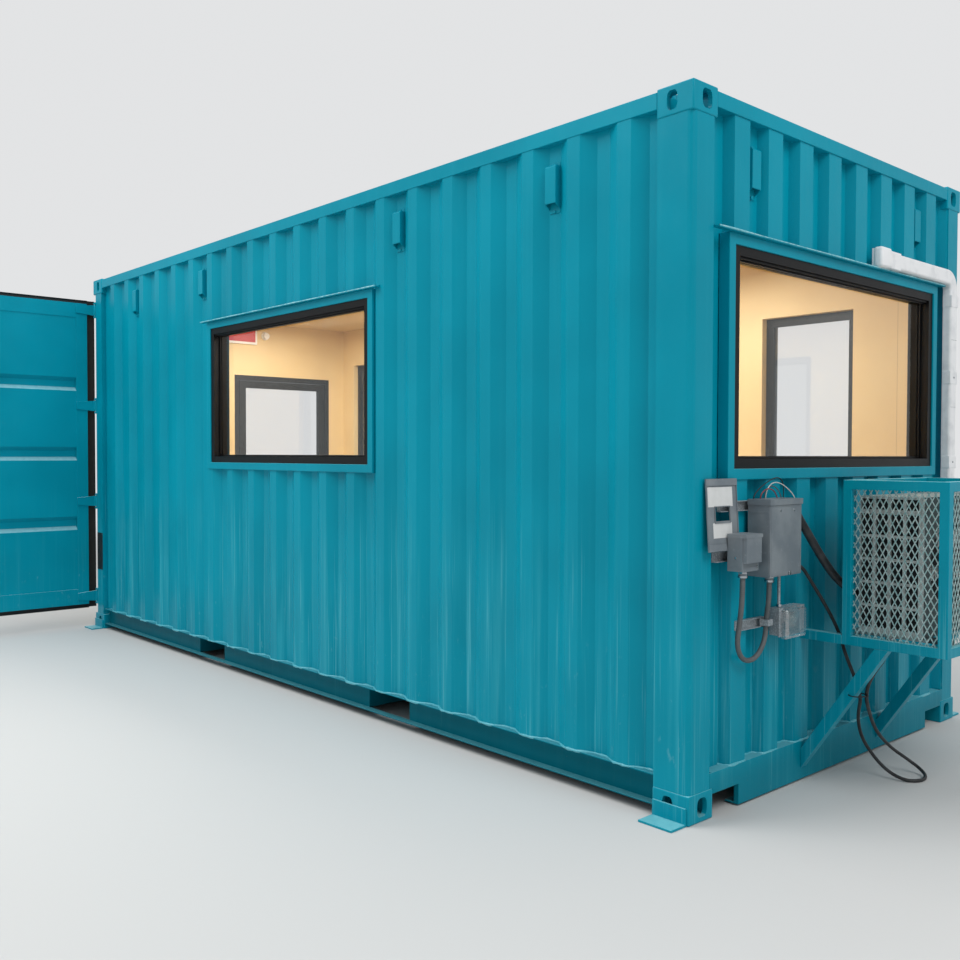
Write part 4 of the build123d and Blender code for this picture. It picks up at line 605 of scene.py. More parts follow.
# The pale bead on the flashings' front edges is a painted highlight where the folded edge catches the light.
pale_marks = Finish("painted_edge_highlight", Specular_IOR_Level=0.4)
lumps = pale_marks.noise(pale_marks.place(), 40, 3)
drip_edge_highlight = pale_marks.set(
    Base_Color=pale_marks.mix(lumps.between(0.35, 0.65), TEAL_WHITENED, paint(158, 214, 222)),
    Roughness=lumps * 0.2 + 0.3,
    Normal=pale_marks.bump(lumps, 0.001),
)
DRIP_R, DRIP_STEP, DRIP_Z = 0.0035, 0.08, 2.355
for name, start, end in (
    ("near_drip_edge_highlight", (-1.037, -1.2425, DRIP_Z), (0.999, -1.2425, DRIP_Z)),
    ("end_drip_edge_highlight", (3.0495, -1.072, DRIP_Z), (3.0495, 0.992, DRIP_Z)),
):
    bead_line(name, divided([start, end], DRIP_STEP), DRIP_R, drip_edge_highlight)

# Floor and linings: worn plywood deck, cream-painted boards with a butt joint every 1.22 m, and a plain
# white ceiling edge. The boards take a soft sheen and a little grain from the roller.
BOARD_WIDE, SHEET_LONG = 1.22, 1.16
cream = Finish("cream_board_paint", Roughness=0.5)
where = cream.place()
run = cream.split(where)[0]
cloud = cream.noise(where, 1.1, 3)
grain = cream.noise(where, 140, 2)
joint = (run * (2 * math.pi / BOARD_WIDE)).wave() > 0.99996
tone = cream.mix(cloud.between(0.3, 0.7), paint(216, 190, 138), paint(228, 205, 154))
tone = cream.mix(joint * 0.5, tone, paint(150, 128, 88))
cream_paint = cream.set(Base_Color=tone, Roughness=grain * 0.15 + 0.42, Normal=cream.bump(grain, 0.0003))
deck = Finish("plywood_deck", Roughness=0.6)
where = deck.place()
run = deck.split(where)[0]
rings = deck.noise(where, 7.0, 5, (1, 9, 1))
sheet_joint = (run * (2 * math.pi / SHEET_LONG)).wave() > 0.9999
tone = deck.mix(rings.between(0.35, 0.68), paint(96, 76, 54), paint(146, 118, 86))
tone = deck.mix(deck.noise(where, 3.0, 4).between(0.5, 0.8) * 0.5, tone, paint(78, 66, 54))
tone = deck.mix(sheet_joint * 0.8, tone, paint(30, 24, 18))
deck_wood = deck.set(Base_Color=tone, Roughness=rings * 0.3 + 0.4, Normal=deck.bump(rings, 0.0006))
dress_slots({"cream_panel": cream_paint, "deck_wood": deck_wood})

# Windows: black powder-coated frames with a glazing bead each side of the pane, a double track along
# the head, and clear panes that mirror the studio more the flatter they are seen.
black = Finish("black_powder_coat", Specular_IOR_Level=0.22)
where = black.place()
speck = black.noise(where, 900, 1)
wipe = black.noise(where, 6, 4)
black_coat = black.set(
    Base_Color=black.mix(wipe.between(0.4, 0.8) * 0.5, paint(12, 12, 13), paint(27, 28, 30)),
    Roughness=wipe * 0.2 + 0.28,
    Normal=black.bump(speck, 0.00015),
)
glass = Finish("clear_glass", Metallic=1.0, Base_Color=(0.9, 0.95, 0.95, 1))
facing = glass.node("ShaderNodeLayerWeight", None, {0: 0.5}, out=1)
smudge = glass.noise(glass.place(), 5, 4)
clear_glass = glass.set(Alpha=facing**5 * 0.9 + smudge * 0.015 + 0.045, Roughness=smudge * 0.03)
dress_slots({"black_aluminium": black_coat, "clear_glass": clear_glass})

PANE_LOW, PANE_HIGH = 1.436, 2.264
BEAD_W, BEAD_GAP, BEAD_REACH = 0.012, 0.003, 0.008
NEAR_LEFT, NEAR_RIGHT, NEAR_PANE = -0.894, 0.856, -1.163
END_LEFT, END_RIGHT, END_PANE = -0.885, 0.865, 2.970


def glazing_beads(bm, left, right, pane, in_end=False):
    """Four beads on both faces of a pane that stands in a long side or in the blank end."""
    for reach in (-1, 1):
        face, front = pane + reach * BEAD_GAP, pane + reach * (BEAD_GAP + BEAD_REACH)
        for (u0, z0), (u1, z1) in (
            ((left, PANE_LOW), (right, PANE_LOW + BEAD_W)), ((left, PANE_HIGH - BEAD_W), (right, PANE_HIGH)),
            ((left, PANE_LOW + BEAD_W), (left + BEAD_W, PANE_HIGH - BEAD_W)),
            ((right - BEAD_W, PANE_LOW + BEAD_W), (right, PANE_HIGH - BEAD_W)),
        ):
            if in_end:
                block(bm, (face, u0, z0), (front, u1, z1))
            else:
                block(bm, (u0, face, z0), (u1, front, z1))


bm = bmesh.new()
glazing_beads(bm, NEAR_LEFT, NEAR_RIGHT, NEAR_PANE)
for left, right in ((-2.540, -2.020), (1.920, 2.440)):
    glazing_beads(bm, left, right, -NEAR_PANE)
glazing_beads(bm, END_LEFT, END_RIGHT, END_PANE, in_end=True)
for inset, drop in ((0.010, 0.010), (0.022, 0.017)):
    block(bm, (NEAR_LEFT, -1.214 + inset, PANE_HIGH - drop), (NEAR_RIGHT, -1.208 + inset, PANE_HIGH))
    block(bm, (3.015 - inset, END_LEFT, PANE_HIGH - drop), (3.021 - inset, END_RIGHT, PANE_HIGH))
piece(bm, "glazing_beads", black_coat, round_edges=0.001)

# Cargo leaf seals: an extruded black rubber section held round each leaf on its inner face. Its wide lip
# stands out past the leaf's edge.
rubber = Finish("door_seal_rubber", Roughness=0.6)
where = rubber.place()
bloom = rubber.noise(where, 30, 4)
seal_rubber = rubber.set(
    Base_Color=rubber.mix(bloom.between(0.4, 0.75), paint(9, 9, 10), paint(26, 26, 26)),
    Roughness=bloom * 0.3 + 0.45,
    Normal=rubber.bump(rubber.noise(where, 420, 1), 0.0003),
)
# Reach past the leaf's edge and depth from its inner face, round the section of the lip
LIP_SECTION = (
    (0.012, 0.0025), (0.034, 0.0020), (0.058, 0.0035), (0.069, 0.0070), (0.075, 0.0130), (0.0725, 0.0145),
    (0.065, 0.0105), (0.055, 0.0075), (0.034, 0.0060), (0.012, 0.0070),
)
# Root of the lip, its share of that reach at foot and head, and how far it runs past both
LIP_ROOT, SILL_SHARE, HEAD_SHARE = 0.014, 0.49, 0.44
LIP_PAST, LIP_SHORT, SQUASH_Z = 0.015, 0.006, 1.4
X, Y, Z = Vector((1, 0, 0)), Vector((0, 1, 0)), Vector((0, 0, 1))


def seal_lip(bm, corner, out, along, share=1.0):
    """The lip's section at a corner of the leaf's inner face, drawn along one edge of the leaf."""
    section = [bm.verts.new(corner + out * (reach * share) + X * depth) for reach, depth in LIP_SECTION]
    drawn = bmesh.ops.extrude_face_region(bm, geom=[bm.faces.new(section)])
    tip = [v for v in drawn["geom"] if isinstance(v, bmesh.types.BMVert)]
    bmesh.ops.translate(bm, verts=tip, vec=along)
    bmesh.ops.recalc_face_normals(bm, faces=bm.faces[:])


for label, side in (("near", -1), ("far", 1)):
    dress(f"{label}_leaf_gasket", seal_rubber)
    low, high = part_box(f"{label}_leaf_frame")
    seal_low, seal_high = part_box(f"{label}_leaf_gasket")
    inner, gasket_wide = seal_low.x, low.z - seal_low.z
    edge = (seal_high.y - gasket_wide) if side < 0 else (seal_low.y + gasket_wide)
    start = edge - side * LIP_ROOT
    tall = seal_high.z - seal_low.z + 2 * LIP_PAST
    bm = bmesh.new()
    seal_lip(bm, Vector((inner, edge, seal_low.z - LIP_PAST)), -side * Y, Z * tall)
    lip = piece(bm, f"{label}_leaf_seal_lip", seal_rubber, f"{label}_cargo_leaf")
    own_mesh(lip)
    bm = bmesh.new()
    length = abs(seal_high.y - seal_low.y) - LIP_SHORT
    seal_lip(bm, Vector((inner, start, low.z)), -Z, side * Y * length, SILL_SHARE)
    seal_lip(bm, Vector((inner, start, high.z)), Z, side * Y * length, HEAD_SHARE)
    piece(bm, f"{label}_leaf_level_lips", seal_rubber, f"{label}_cargo_leaf")

# Cage infill: flattened expanded steel. Strands 4.4 mm wide cross at diamonds 27 by 50 mm, and each panel
# is let into the middle of the tubes all round.
CELL_W, CELL_H, STRAND, STRAND_THICK, STRAND_LIFT = 0.027, 0.050, 0.0044, 0.0022, 0.0004
SHORTEST_STRAND, ON_EDGE = 0.01, 1e-6
mesh_steel = Finish("grey_green_mesh_steel", Metallic=0.35)
where = mesh_steel.place()
worn = mesh_steel.noise(where, 60, 4)
mesh_paint = mesh_steel.set(
    Base_Color=mesh_steel.mix(worn.between(0.35, 0.7), paint(134, 172, 172), paint(188, 206, 204)),
    Roughness=worn * 0.2 + 0.35,
    Normal=mesh_steel.bump(mesh_steel.noise(where, 500, 1), 0.0002),
)


def diamond_sheet(bm, corner, wide_way, tall_way, wide, tall):
    """Crossing strands over a rectangle, clipped at its edges."""
    normal = wide_way.cross(tall_way)
    slope = CELL_H / CELL_W
    for lean in (1, -1):
        for k in range(int(wide / CELL_W + tall / CELL_H) + 2):
            start = k * CELL_W - (tall / slope if lean > 0 else 0)
            ends = sorted(
                (u, v) for u, v in (
                    (start, 0.0), (start + lean * tall / slope, tall), (0.0, -start * slope * lean),
                    (wide, (wide - start) * slope * lean),
                ) if -ON_EDGE <= u <= wide + ON_EDGE and -ON_EDGE <= v <= tall + ON_EDGE
            )
            if len(ends) < 2:
                continue
            a, b = (corner + wide_way * u + tall_way * v for u, v in (ends[0], ends[-1]))
            if (b - a).length < SHORTEST_STRAND:
                continue
            along = (b - a).normalized()
            turn = Matrix((along, normal.cross(along), normal)).transposed().to_4x4()
            size = Matrix.Diagonal(((b - a).length, STRAND, STRAND_THICK, 1))
            middle = Matrix.Translation((a + b) / 2 + normal * STRAND_LIFT * lean)
            bmesh.ops.create_cube(bm, size=1, matrix=middle @ turn @ size)


TUBE = 0.040
cage_low, cage_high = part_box("cage_frame")
wide, tall = cage_high.x - cage_low.x - 2 * TUBE, cage_high.z - cage_low.z - 2 * TUBE
deep = cage_high.y - cage_low.y - 2 * TUBE
inside = Vector((cage_low.x + TUBE, cage_low.y + TUBE, cage_low.z + TUBE))
bm = bmesh.new()
diamond_sheet(bm, inside + Vector((0, -TUBE / 2, 0)), X, Z, wide, tall)
diamond_sheet(bm, inside + Vector((0, deep + TUBE / 2, 0)), X, Z, wide, tall)
diamond_sheet(bm, inside + Vector((wide + TUBE / 2, 0, 0)), Y, Z, deep, tall)
diamond_sheet(bm, inside + Vector((0, 0, tall + TUBE / 2)), X, Y, wide, deep)
cage_infill = piece(bm, "cage_expanded_mesh", mesh_paint)
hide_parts("cage_mesh")

# Condenser: light enamelled case with pressed edges, dark fins behind the openings of its near end, and
# a wire guard over a five-bladed fan in its outer face.
OUTER_FACE_X = 3.5445
case = Finish("light_enamel_case", Specular_IOR_Level=0.5)
where = case.place()
dusty = case.noise(where, 14, 5)
case_tone = case.mix(dusty.between(0.4, 0.75), paint(184, 192, 190), paint(150, 158, 156))
case_tone = case.mix(case.split(where)[0] > OUTER_FACE_X, case_tone, paint(52, 68, 70))
case_enamel = case.set(
    Base_Color=case_tone,
    Roughness=dusty * 0.3 + 0.3,
    Normal=case.bump(case.noise(where, 380, 1), 0.00015),
)
fins = Finish("dark_coil_fins", Metallic=0.6)
run, depth = fins.split(fins.place())[:2]
slats = ((run + depth) * 2400).wave() * 0.5 + 0.5
# The fins are lighter on their raised lines and darker between them: painted shade in the gaps.
coil_fins = fins.set(
    Base_Color=fins.mix(slats, paint(14, 15, 17), paint(44, 47, 50)),
    Roughness=slats * 0.2 + 0.4,
    Normal=fins.bump(slats, 0.0008),
)
# Openings of the case's near end: first corner, pitch and size, and the lower top row
GRILLE_X, GRILLE_Y, GRILLE_Z = 3.268 + 0.007, -0.345, 0.700 + 0.024
STEP_X, STEP_Z, OPENING_W, OPENING_H = 0.065, 0.0984, 0.052, 0.088
TOP_ROW_Z, TOP_ROW_H = 1.280 - 0.011 - 0.045, 0.045
FIN_GAP, FIN_NEAR, FIN_FAR = 0.0005, 0.0105, 0.0118
bm = bmesh.new()
for column in range(4):
    x = GRILLE_X + STEP_X * column
    for row in range(6):
        z, high = (GRILLE_Z + STEP_Z * row, OPENING_H) if row < 5 else (TOP_ROW_Z, TOP_ROW_H)
        block(
            bm, (x + FIN_GAP, GRILLE_Y + FIN_NEAR, z + FIN_GAP),
            (x + OPENING_W - FIN_GAP, GRILLE_Y + FIN_FAR, z + high - FIN_GAP),
        )
piece(bm, "condenser_fins", coil_fins)

wire_steel = Finish("black_fan_guard_wire", Roughness=0.4)
wire_tone = wire_steel.noise(wire_steel.place(), 40, 3)
guard_wire = wire_steel.set(Base_Color=wire_steel.mix(wire_tone, paint(26, 28, 30), paint(58, 60, 62)))
FAN_MIDDLE = Vector((3.545, -0.080, 0.990))
GUARD_WIRE_R, GUARD_HOOPS, GUARD_SPOKES, HUB_R, HOOP_STEP, GUARD_BACK = 0.0016, 8, 16, 0.062, 0.020, 0.004
SPOKE_LONG, SPOKE_START, SPOKE_BEHIND = 0.170, 0.060, 0.002
bm = bmesh.new()
for k in range(GUARD_HOOPS):
    hoop = bmesh.ops.create_circle(bm, segments=6, radius=GUARD_WIRE_R, cap_ends=False)
    for v in hoop["verts"]:
        v.co = Vector((v.co.x, 0, v.co.y)) + Vector((0, HUB_R + HOOP_STEP * k, 0))
    bmesh.ops.spin(
        bm, geom=hoop["verts"] + list({e for v in hoop["verts"] for e in v.link_edges}), cent=(0, 0, 0),
        axis=(1, 0, 0), angle=2 * math.pi, steps=36, use_merge=True,
    )
bmesh.ops.recalc_face_normals(bm, faces=bm.faces[:])
for spoke in range(GUARD_SPOKES):
    turn = Matrix.Rotation(2 * math.pi * spoke / GUARD_SPOKES, 4, "X")
    outward = Matrix.Translation((-SPOKE_BEHIND, 0, SPOKE_START + SPOKE_LONG / 2))
    bmesh.ops.create_cone(
        bm, cap_ends=True, segments=6, radius1=GUARD_WIRE_R, radius2=GUARD_WIRE_R, depth=SPOKE_LONG,
        matrix=turn @ outward,
    )
bmesh.ops.create_cone(
    bm, cap_ends=True, segments=32, radius1=HUB_R, radius2=0.052, depth=0.005,
    matrix=Matrix.Translation((-0.0005, 0, 0)) @ Matrix.Rotation(math.pi / 2, 4, "Y"),
)
bmesh.ops.translate(bm, verts=bm.verts[:], vec=FAN_MIDDLE - Vector((GUARD_BACK, 0, 0)))
piece(bm, "condenser_fan_guard", guard_wire, smooth=True)
BLADES, BLADE_ROOT, BLADE_LONG, BLADE_BACK, BLADE_TWIST = 5, 0.055, 0.140, 0.016, 0.014
bm = bmesh.new()
for blade in range(BLADES):
    wing = bmesh.ops.create_grid(bm, x_segments=4, y_segments=8, size=0.5)
    for v in wing["verts"]:
        share = v.co.y + 0.5
        reach = BLADE_ROOT + BLADE_LONG * share
        turn = v.co.x * (0.45 + 0.5 * share) + 0.25 * share**2 + 2 * math.pi * blade / BLADES
        v.co = Vector((-BLADE_BACK - BLADE_TWIST * v.co.x, reach * math.sin(turn), reach * math.cos(turn)))
bmesh.ops.solidify(bm, geom=bm.faces[:], thickness=0.0015)
bmesh.ops.translate(bm, verts=bm.verts[:], vec=FAN_MIDDLE)
piece(bm, "condenser_fan_blades", coil_fins, smooth=True)

# Electrical gear on the end wall: grey-enamelled sheet boxes on zinc-plated channel struts, a bare
# hanging cover with two blank label fields, a clear cover on the outlet box, and nickel-plated hub rings.
enamel = Finish("grey_box_enamel", Specular_IOR_Level=0.5)
where = enamel.place()
cloud = enamel.noise(where, 7, 4)
rub = enamel.noise(where, 60, 4).between(0.62, 0.78)
tone = enamel.mix(cloud.between(0.35, 0.7), paint(112, 121, 128), paint(132, 140, 145))
grey_enamel = enamel.set(
    Base_Color=enamel.mix(rub * 0.35, tone, paint(166, 172, 174)),
    Roughness=cloud * 0.2 + rub * 0.1 + 0.3,
    Normal=enamel.bump(enamel.noise(where, 420, 1), 0.00018),
)
zinc = Finish("zinc_plated_channel", Metallic=0.35)
where = zinc.place()
spangle = zinc.node("ShaderNodeTexVoronoi", {"feature": "F1"}, {"Vector": where, "Scale": 130.0})
stain = zinc.noise(where, 16, 4)
zinc_plate = zinc.set(
    Base_Color=zinc.mix(spangle.between(0.1, 0.7), paint(186, 192, 196), paint(150, 158, 163)),
    Roughness=spangle * 0.2 + stain * 0.25 + 0.2,
    Normal=zinc.bump(spangle, 0.0001),
)
vinyl = Finish("white_vinyl", Specular_IOR_Level=0.45)
where = vinyl.place()
scuff = vinyl.noise(where, 12, 5)
white_vinyl = vinyl.set(
    Base_Color=vinyl.mix(scuff.between(0.45, 0.75) * 0.6, paint(238, 239, 240), paint(208, 211, 214)),
    Roughness=scuff * 0.2 + 0.35,
    Normal=vinyl.bump(vinyl.noise(where, 300, 1), 0.0001),
)
plated = Finish("nickel_plate", Metallic=1.0)
polish = plated.noise(plated.place(), 90, 3)
nickel = plated.set(
    Base_Color=plated.mix(polish, paint(196, 200, 204), paint(160, 166, 172)), Roughness=polish * 0.2 + 0.15
)
dress_slots({
    "grey_enamel": grey_enamel, "galvanised": zinc_plate, "white_plastic": white_vinyl,
    "light_enamel": case_enamel,
})
SHEET_RADIUS = 0.0015
soften_edges(("switch_boxes", "junction_box", "line_set_cover", "exit_sign"), SHEET_RADIUS)

# Collars and locknuts of the conduit ends: turned or six-sided steel rings, nickel-plated, screwed on
# where a conduit or the cable enters a box.
bm = bmesh.new()
for place, axis, outer, long, sides, inner in (
    ((3.095, -0.766, 0.9335), Z, 0.0195, 0.010, 24, 0.0115),
    ((3.095, -0.766, 0.9495), Z, 0.0200, 0.006, 6, 0.0170),
    ((3.101, -0.970, 0.9675), Z, 0.0195, 0.010, 24, 0.0115),
    ((3.101, -0.970, 0.9835), Z, 0.0200, 0.006, 6, 0.0170),
    ((3.085, -0.581, 0.990), Y, 0.0150, 0.012, 24, 0.0085),
    ((3.395, -0.326, 0.681), Z, 0.0155, 0.010, 24, 0.0085),
    ((3.067, -0.645, 0.816), Z, 0.0125, 0.012, 6, 0.0068),
    ((3.067, -0.645, 0.950), Z, 0.0125, 0.012, 6, 0.0068),
):
    ring(bm, place, axis, outer, long, sides, inner)
piece(bm, "conduit_hub_rings", nickel)

# Big switch box: a shallow tray door hooked under the rain cap, with a pull knob, one side seam and a
# bright screw; small box: a lift flap with a screw under it; outlet box: a screw at each corner.
bm = bmesh.new()
for place, axis, radius, long, sides in (
    ((3.147, -0.698, 0.965), X, 0.0085, 0.008, 20), ((3.1455, -0.766, 1.225), X, 0.0045, 0.003, 12),
    ((3.1455, -0.662, 1.225), X, 0.0045, 0.003, 12), ((3.098, -1.0150, 1.045), Y, 0.0045, 0.003, 12),
    ((3.1295, -1.002, 1.118), X, 0.0065, 0.004, 16), ((3.1295, -0.911, 1.006), X, 0.0050, 0.003, 12),
):
    ring(bm, place, axis, radius, long, sides)
for y in (-0.664, -0.500):
    for z in (0.702, 0.798):
        ring(bm, (3.0925, y, z), X, 0.0040, 0.003, 12)
piece(bm, "gear_box_screws", nickel)
bm = bmesh.new()
for low, high in (
    ((3.048, -0.8462, 1.2155), (3.139, -0.8448, 1.2230)),
    ((3.1448, -0.835, 0.962), (3.1462, -0.613, 0.9645)),
    ((3.1448, -0.835, 1.2415), (3.1462, -0.613, 1.2440)),
    ((3.1448, -0.835, 0.9645), (3.1462, -0.8325, 1.2415)),
    ((3.1448, -0.6155, 0.9645), (3.1462, -0.613, 1.2415)),
    ((3.060, -1.0152, 1.006), (3.1290, -1.0138, 1.0085)),
    ((3.1278, -1.014, 1.006), (3.1292, -0.900, 1.0085)),
):
    block(bm, low, high)
piece(bm, "switch_box_seams", grey_enamel, round_edges=0.0004)

# Outlet box: a clear plastic bubble cover, hinged at its top and domed over the two grey socket faces
# behind it.
bubble = Finish("clear_cover_plastic", Metallic=0.9, Base_Color=(0.92, 0.95, 0.96, 1))
facing = bubble.node("ShaderNodeLayerWeight", None, {0: 0.5}, out=1)
marks = bubble.noise(bubble.place(), 60, 4)
clear_cover = bubble.set(Alpha=facing**3 * 0.8 + marks * 0.3 + 0.08, Roughness=marks * 0.2 + 0.05)
bm = bmesh.new()
block(bm, (3.092, -0.671, 0.680), (3.120, -0.516, 0.804))
bm.normal_update()
front = [f for f in bm.faces if f.normal.x > 0.9]
bmesh.ops.inset_region(bm, faces=front, thickness=0.012, depth=0.006)
round_off(bm, bm.edges[:], 0.006, 3)
dome = Matrix.Translation((3.105, -0.612, 0.780)) @ Matrix.Rotation(math.pi / 2, 4, "Y")
for base, top, deep in ((0.047, 0.042, 0.024), (0.018, 0.015, 0.036)):
    bmesh.ops.create_cone(bm, cap_ends=True, segments=40, radius1=base, radius2=top, depth=deep, matrix=dome)
piece(bm, "outlet_bubble_cover", clear_cover)
SOCKET_HALF = 0.018
bm = bmesh.new()
for y in (-0.622, -0.544):
    block(bm, (3.0921, y - SOCKET_HALF, 0.716), (3.0945, y + SOCKET_HALF, 0.784))
piece(bm, "outlet_faces", grey_enamel, round_edges=0.001)

# Hanging cover: folded sheet edges in bare enamel round the cover and its cut-out, and two blank label
# fields of white film. It leans a little off the struts that it hangs from.
film = Finish("blank_white_film", Roughness=0.45)
age = film.noise(film.place(), 30, 4)
white_film = film.set(
    Base_Color=film.mix(age, paint(226, 228, 228), paint(206, 208, 206)), Roughness=age * 0.2 + 0.35
)
COVER_LEAN = math.radians(3.8)
cover_foot = Matrix.Translation((3.0549, 0, 1.071)) @ Matrix.Rotation(-COVER_LEAN, 4, "Y")


def cover_blocks(inner, outer, fields):
    """Blocks on the leaning cover, from their side and height ranges."""
    bm = bmesh.new()
    for y0, y1, up0, up1 in fields:
        block(bm, (inner, y0, up0), (outer, y1, up1))
    bmesh.ops.transform(bm, matrix=cover_foot, verts=bm.verts[:])
    return bm


labels = ((-1.128, -0.960, 0.176, 0.254), (-1.100, -0.972, 0.052, 0.112))
piece(cover_blocks(0.0020, 0.0026, labels), "cover_blank_labels", white_film)
folds = (
    (-1.139, -1.136, 0.027, 0.260), (-0.933, -0.930, 0.027, 0.260), (-1.088, -0.981, 0.110, 0.113),
    (-1.088, -0.981, 0.1755, 0.1785), (-1.088, -1.085, 0.113, 0.1755), (-0.984, -0.981, 0.113, 0.1755),
)
folded = cover_blocks(0.0015, 0.0060, folds)
piece(folded, "cover_folded_edges", grey_enamel, round_edges=0.0006)

# Loose supply wires: stranded copper in thin PVC that leaves the knock-outs of the big box's back and
# arches over its cap, one black, one white, one red and one grey.
WIRE_THICK = 0.0042
for name, colour, route in (
    ("loose_wire_black", paint(24, 24, 26), [
        (3.056, -0.826, 1.270), (3.056, -0.828, 1.287), (3.056, -0.780, 1.318), (3.058, -0.705, 1.350),
        (3.058, -0.640, 1.362), (3.062, -0.610, 1.340), (3.066, -0.612, 1.300), (3.068, -0.618, 1.272),
    ]),
    ("loose_wire_white", paint(206, 204, 198), [
        (3.060, -0.742, 1.270), (3.060, -0.744, 1.292), (3.062, -0.718, 1.334), (3.070, -0.668, 1.342),
        (3.092, -0.634, 1.318), (3.112, -0.618, 1.290), (3.118, -0.614, 1.273),
    ]),
    ("loose_wire_red", paint(150, 40, 34), [
        (3.060, -0.782, 1.270), (3.060, -0.782, 1.288), (3.062, -0.752, 1.312), (3.066, -0.710, 1.314),
        (3.070, -0.682, 1.296), (3.072, -0.674, 1.272),
    ]),
    ("loose_wire_grey", paint(96, 100, 104), [
        (3.050, -0.730, 1.270), (3.050, -0.734, 1.290), (3.052, -0.712, 1.322), (3.056, -0.668, 1.326),
        (3.062, -0.640, 1.300), (3.066, -0.632, 1.273),
    ]),
):
    pvc = Finish(name + "_pvc", Roughness=0.35)
    speck = pvc.noise(pvc.place(), 240, 2)
    soil = tuple(c * 0.55 for c in colour[:3]) + (1,)
    tone = pvc.mix(speck.between(0.4, 0.8), colour, soil)
    sheath = pvc.set(Base_Color=tone, Roughness=speck * 0.2 + 0.3)
    cord_curve(
        name, route, WIRE_THICK, sheath, "cable_black", order=4, facets=3, steps=12,
        stiffness="stiff", lay="hanging",
    )

# Cable tie: a black nylon strap, drawn tight through its own head round the near brace and both strands
# of the hanging cable.
TIE_X, TIE_Y, TIE_Z, TIE_HALF_X, TIE_HALF_Y, STRAP_WIDE = 3.276, -0.363, 0.425, 0.036, 0.041, 0.0048
bm = bmesh.new()
tie = bmesh.ops.create_circle(bm, segments=40, radius=1.0, cap_ends=False)
for v in tie["verts"]:
    angle = math.atan2(v.co.y, v.co.x)
    v.co = Vector((TIE_X + TIE_HALF_X * math.cos(angle), TIE_Y + TIE_HALF_Y * math.sin(angle), TIE_Z))
raised = bmesh.ops.extrude_edge_only(bm, edges=bm.edges[:])
upper = [v for v in raised["geom"] if isinstance(v, bmesh.types.BMVert)]
bmesh.ops.translate(bm, verts=upper, vec=(0, 0, STRAP_WIDE))
bmesh.ops.recalc_face_normals(bm, faces=bm.faces[:])
bmesh.ops.solidify(bm, geom=bm.faces[:], thickness=0.0013)
block(bm, (3.306, -0.348, 0.4235), (3.315, -0.338, 0.4315))
piece(bm, "cable_tie", seal_rubber)

# Line-set cover: vinyl duct cover snapped on its back channel, with a seam line along each length. Two
# couplings close the joints of its drop, and a socket and a rounded wall cap its upper end.
DUCT_NEAR, DUCT_FAR, DUCT_BACK, DUCT_FACE = 1.0185, 1.1025, 3.0262, 3.0730
SEAM_BACK, SEAM_FACE = 3.0345, 3.0365
bm = bmesh.new()
for z0, z1 in ((1.30, 2.236), (2.316, 2.345)):
    block(bm, (SEAM_BACK, 1.0202, z0), (SEAM_FACE, 1.1008, z1))
block(bm, (SEAM_BACK, 0.335, 2.3602), (SEAM_FACE, 0.985, 2.4408))
piece(bm, "line_set_seams", white_vinyl)
bm = bmesh.new()
for z0, z1 in ((1.385, 1.451), (1.835, 1.906)):
    block(bm, (DUCT_BACK, DUCT_NEAR, z0), (DUCT_FACE, DUCT_FAR, z1))
block(bm, (DUCT_BACK, 0.330, 2.3585), (DUCT_FACE, 0.432, 2.4435))
piece(bm, "line_set_couplings", white_vinyl, round_edges=0.003)
bm = bmesh.new()
block(bm, (DUCT_BACK, 0.2305, 2.3565), (DUCT_FACE + 0.0025, 0.3345, 2.4560))
round_off(bm, bm.edges[:], 0.015, 5)
piece(bm, "line_set_wall_cap", white_vinyl, smooth=True)
SLOT_HALF = 0.0008
bm = bmesh.new()
for z in (1.418, 1.870):
    ring(bm, (DUCT_FACE, (DUCT_NEAR + DUCT_FAR) / 2, z), X, 0.0055, 0.003, 16)
    block(bm, (DUCT_FACE + 0.0012, 1.0555, z - SLOT_HALF), (DUCT_FACE + 0.0018, 1.0655, z + SLOT_HALF))
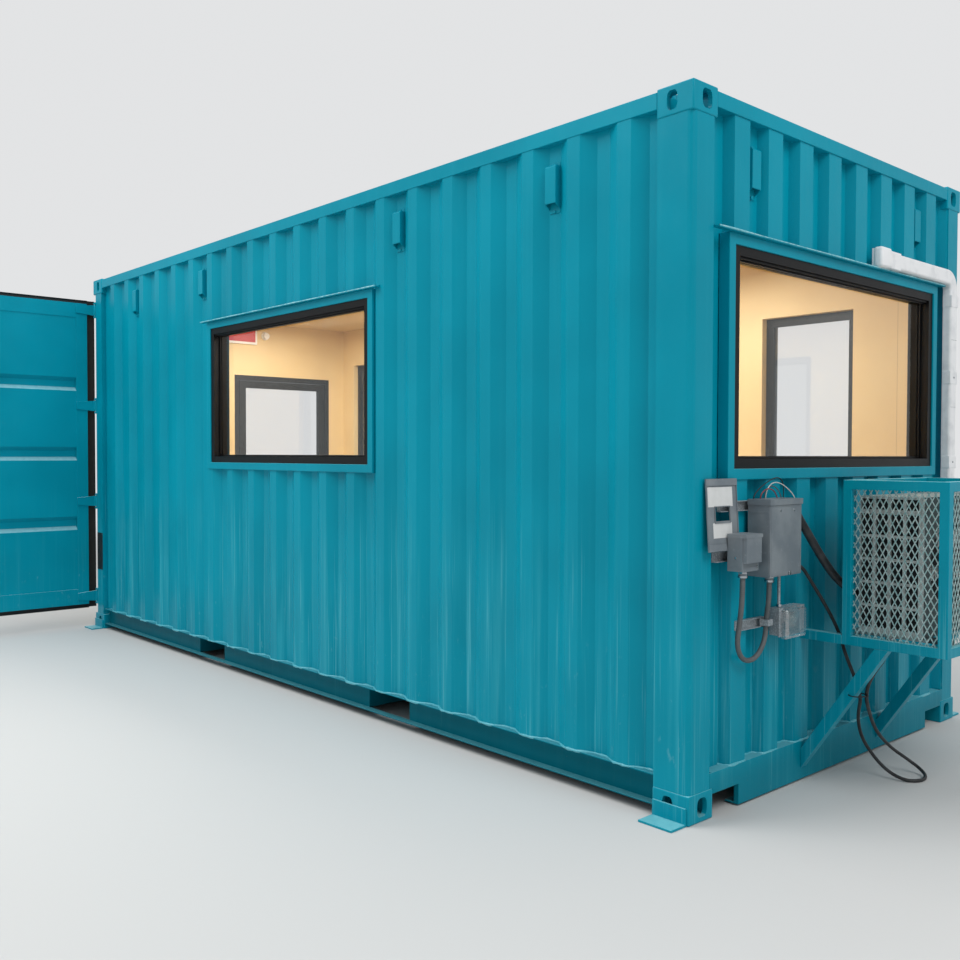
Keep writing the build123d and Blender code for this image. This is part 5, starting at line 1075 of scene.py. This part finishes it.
for z in (1.712, 2.070):
    block(bm, (3.0700, 1.0300, z - SLOT_HALF), (3.0712, 1.0910, z + SLOT_HALF))
piece(bm, "line_set_coupling_screws", grey_enamel)

# Sign over the inner door: a light thermoplastic case screwed to the inner end wall, with a bare red
# face plate let into its rim.
SIGN_RIM_Y, SIGN_RIM_Z, FACE_THICK = 0.018, 0.020, 0.0015
sign_low, sign_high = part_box("exit_sign")
sign_red = Finish("bare_red_face", Roughness=0.35)
glow = sign_red.noise(sign_red.place(), 9, 2)
red_face = sign_red.set(
    Base_Color=sign_red.mix(glow, paint(206, 44, 38), paint(176, 30, 28)), Roughness=glow * 0.15 + 0.3
)
bm = bmesh.new()
block(
    bm, (sign_high.x, sign_low.y + SIGN_RIM_Y, sign_low.z + SIGN_RIM_Z),
    (sign_high.x + FACE_THICK, sign_high.y - SIGN_RIM_Y, sign_high.z - SIGN_RIM_Z),
)
piece(bm, "exit_sign_face", red_face, round_edges=0.0005)

# Data plate: a dark steel plate on the near post of the door end, held by a rivet at each corner, bare
# and blank.
PLATE_LEFT, PLATE_RIGHT, PLATE_LOW, PLATE_HIGH = -2.981, -2.872, 0.489, 0.794
PLATE_FACE, PLATE_BACK = -1.2185, -1.2160
plate = Finish("dark_bare_plate", Metallic=0.3)
rust = plate.noise(plate.place(), 26, 5)
dark_plate = plate.set(
    Base_Color=plate.mix(rust.between(0.4, 0.7), paint(34, 40, 44), paint(58, 60, 58)),
    Roughness=rust * 0.3 + 0.4,
    Normal=plate.bump(rust, 0.0004),
)
bm = bmesh.new()
block(bm, (PLATE_LEFT, PLATE_FACE, PLATE_LOW), (PLATE_RIGHT, PLATE_BACK, PLATE_HIGH))
piece(bm, "rear_post_plate", dark_plate, round_edges=0.0006)
bm = bmesh.new()
for x in (PLATE_LEFT + 0.009, PLATE_RIGHT - 0.009):
    for z in (PLATE_LOW + 0.011, PLATE_HIGH - 0.011):
        ring(bm, (x, PLATE_FACE, z), -Y, 0.0035, 0.002, 12)
piece(bm, "rear_post_plate_rivets", nickel)
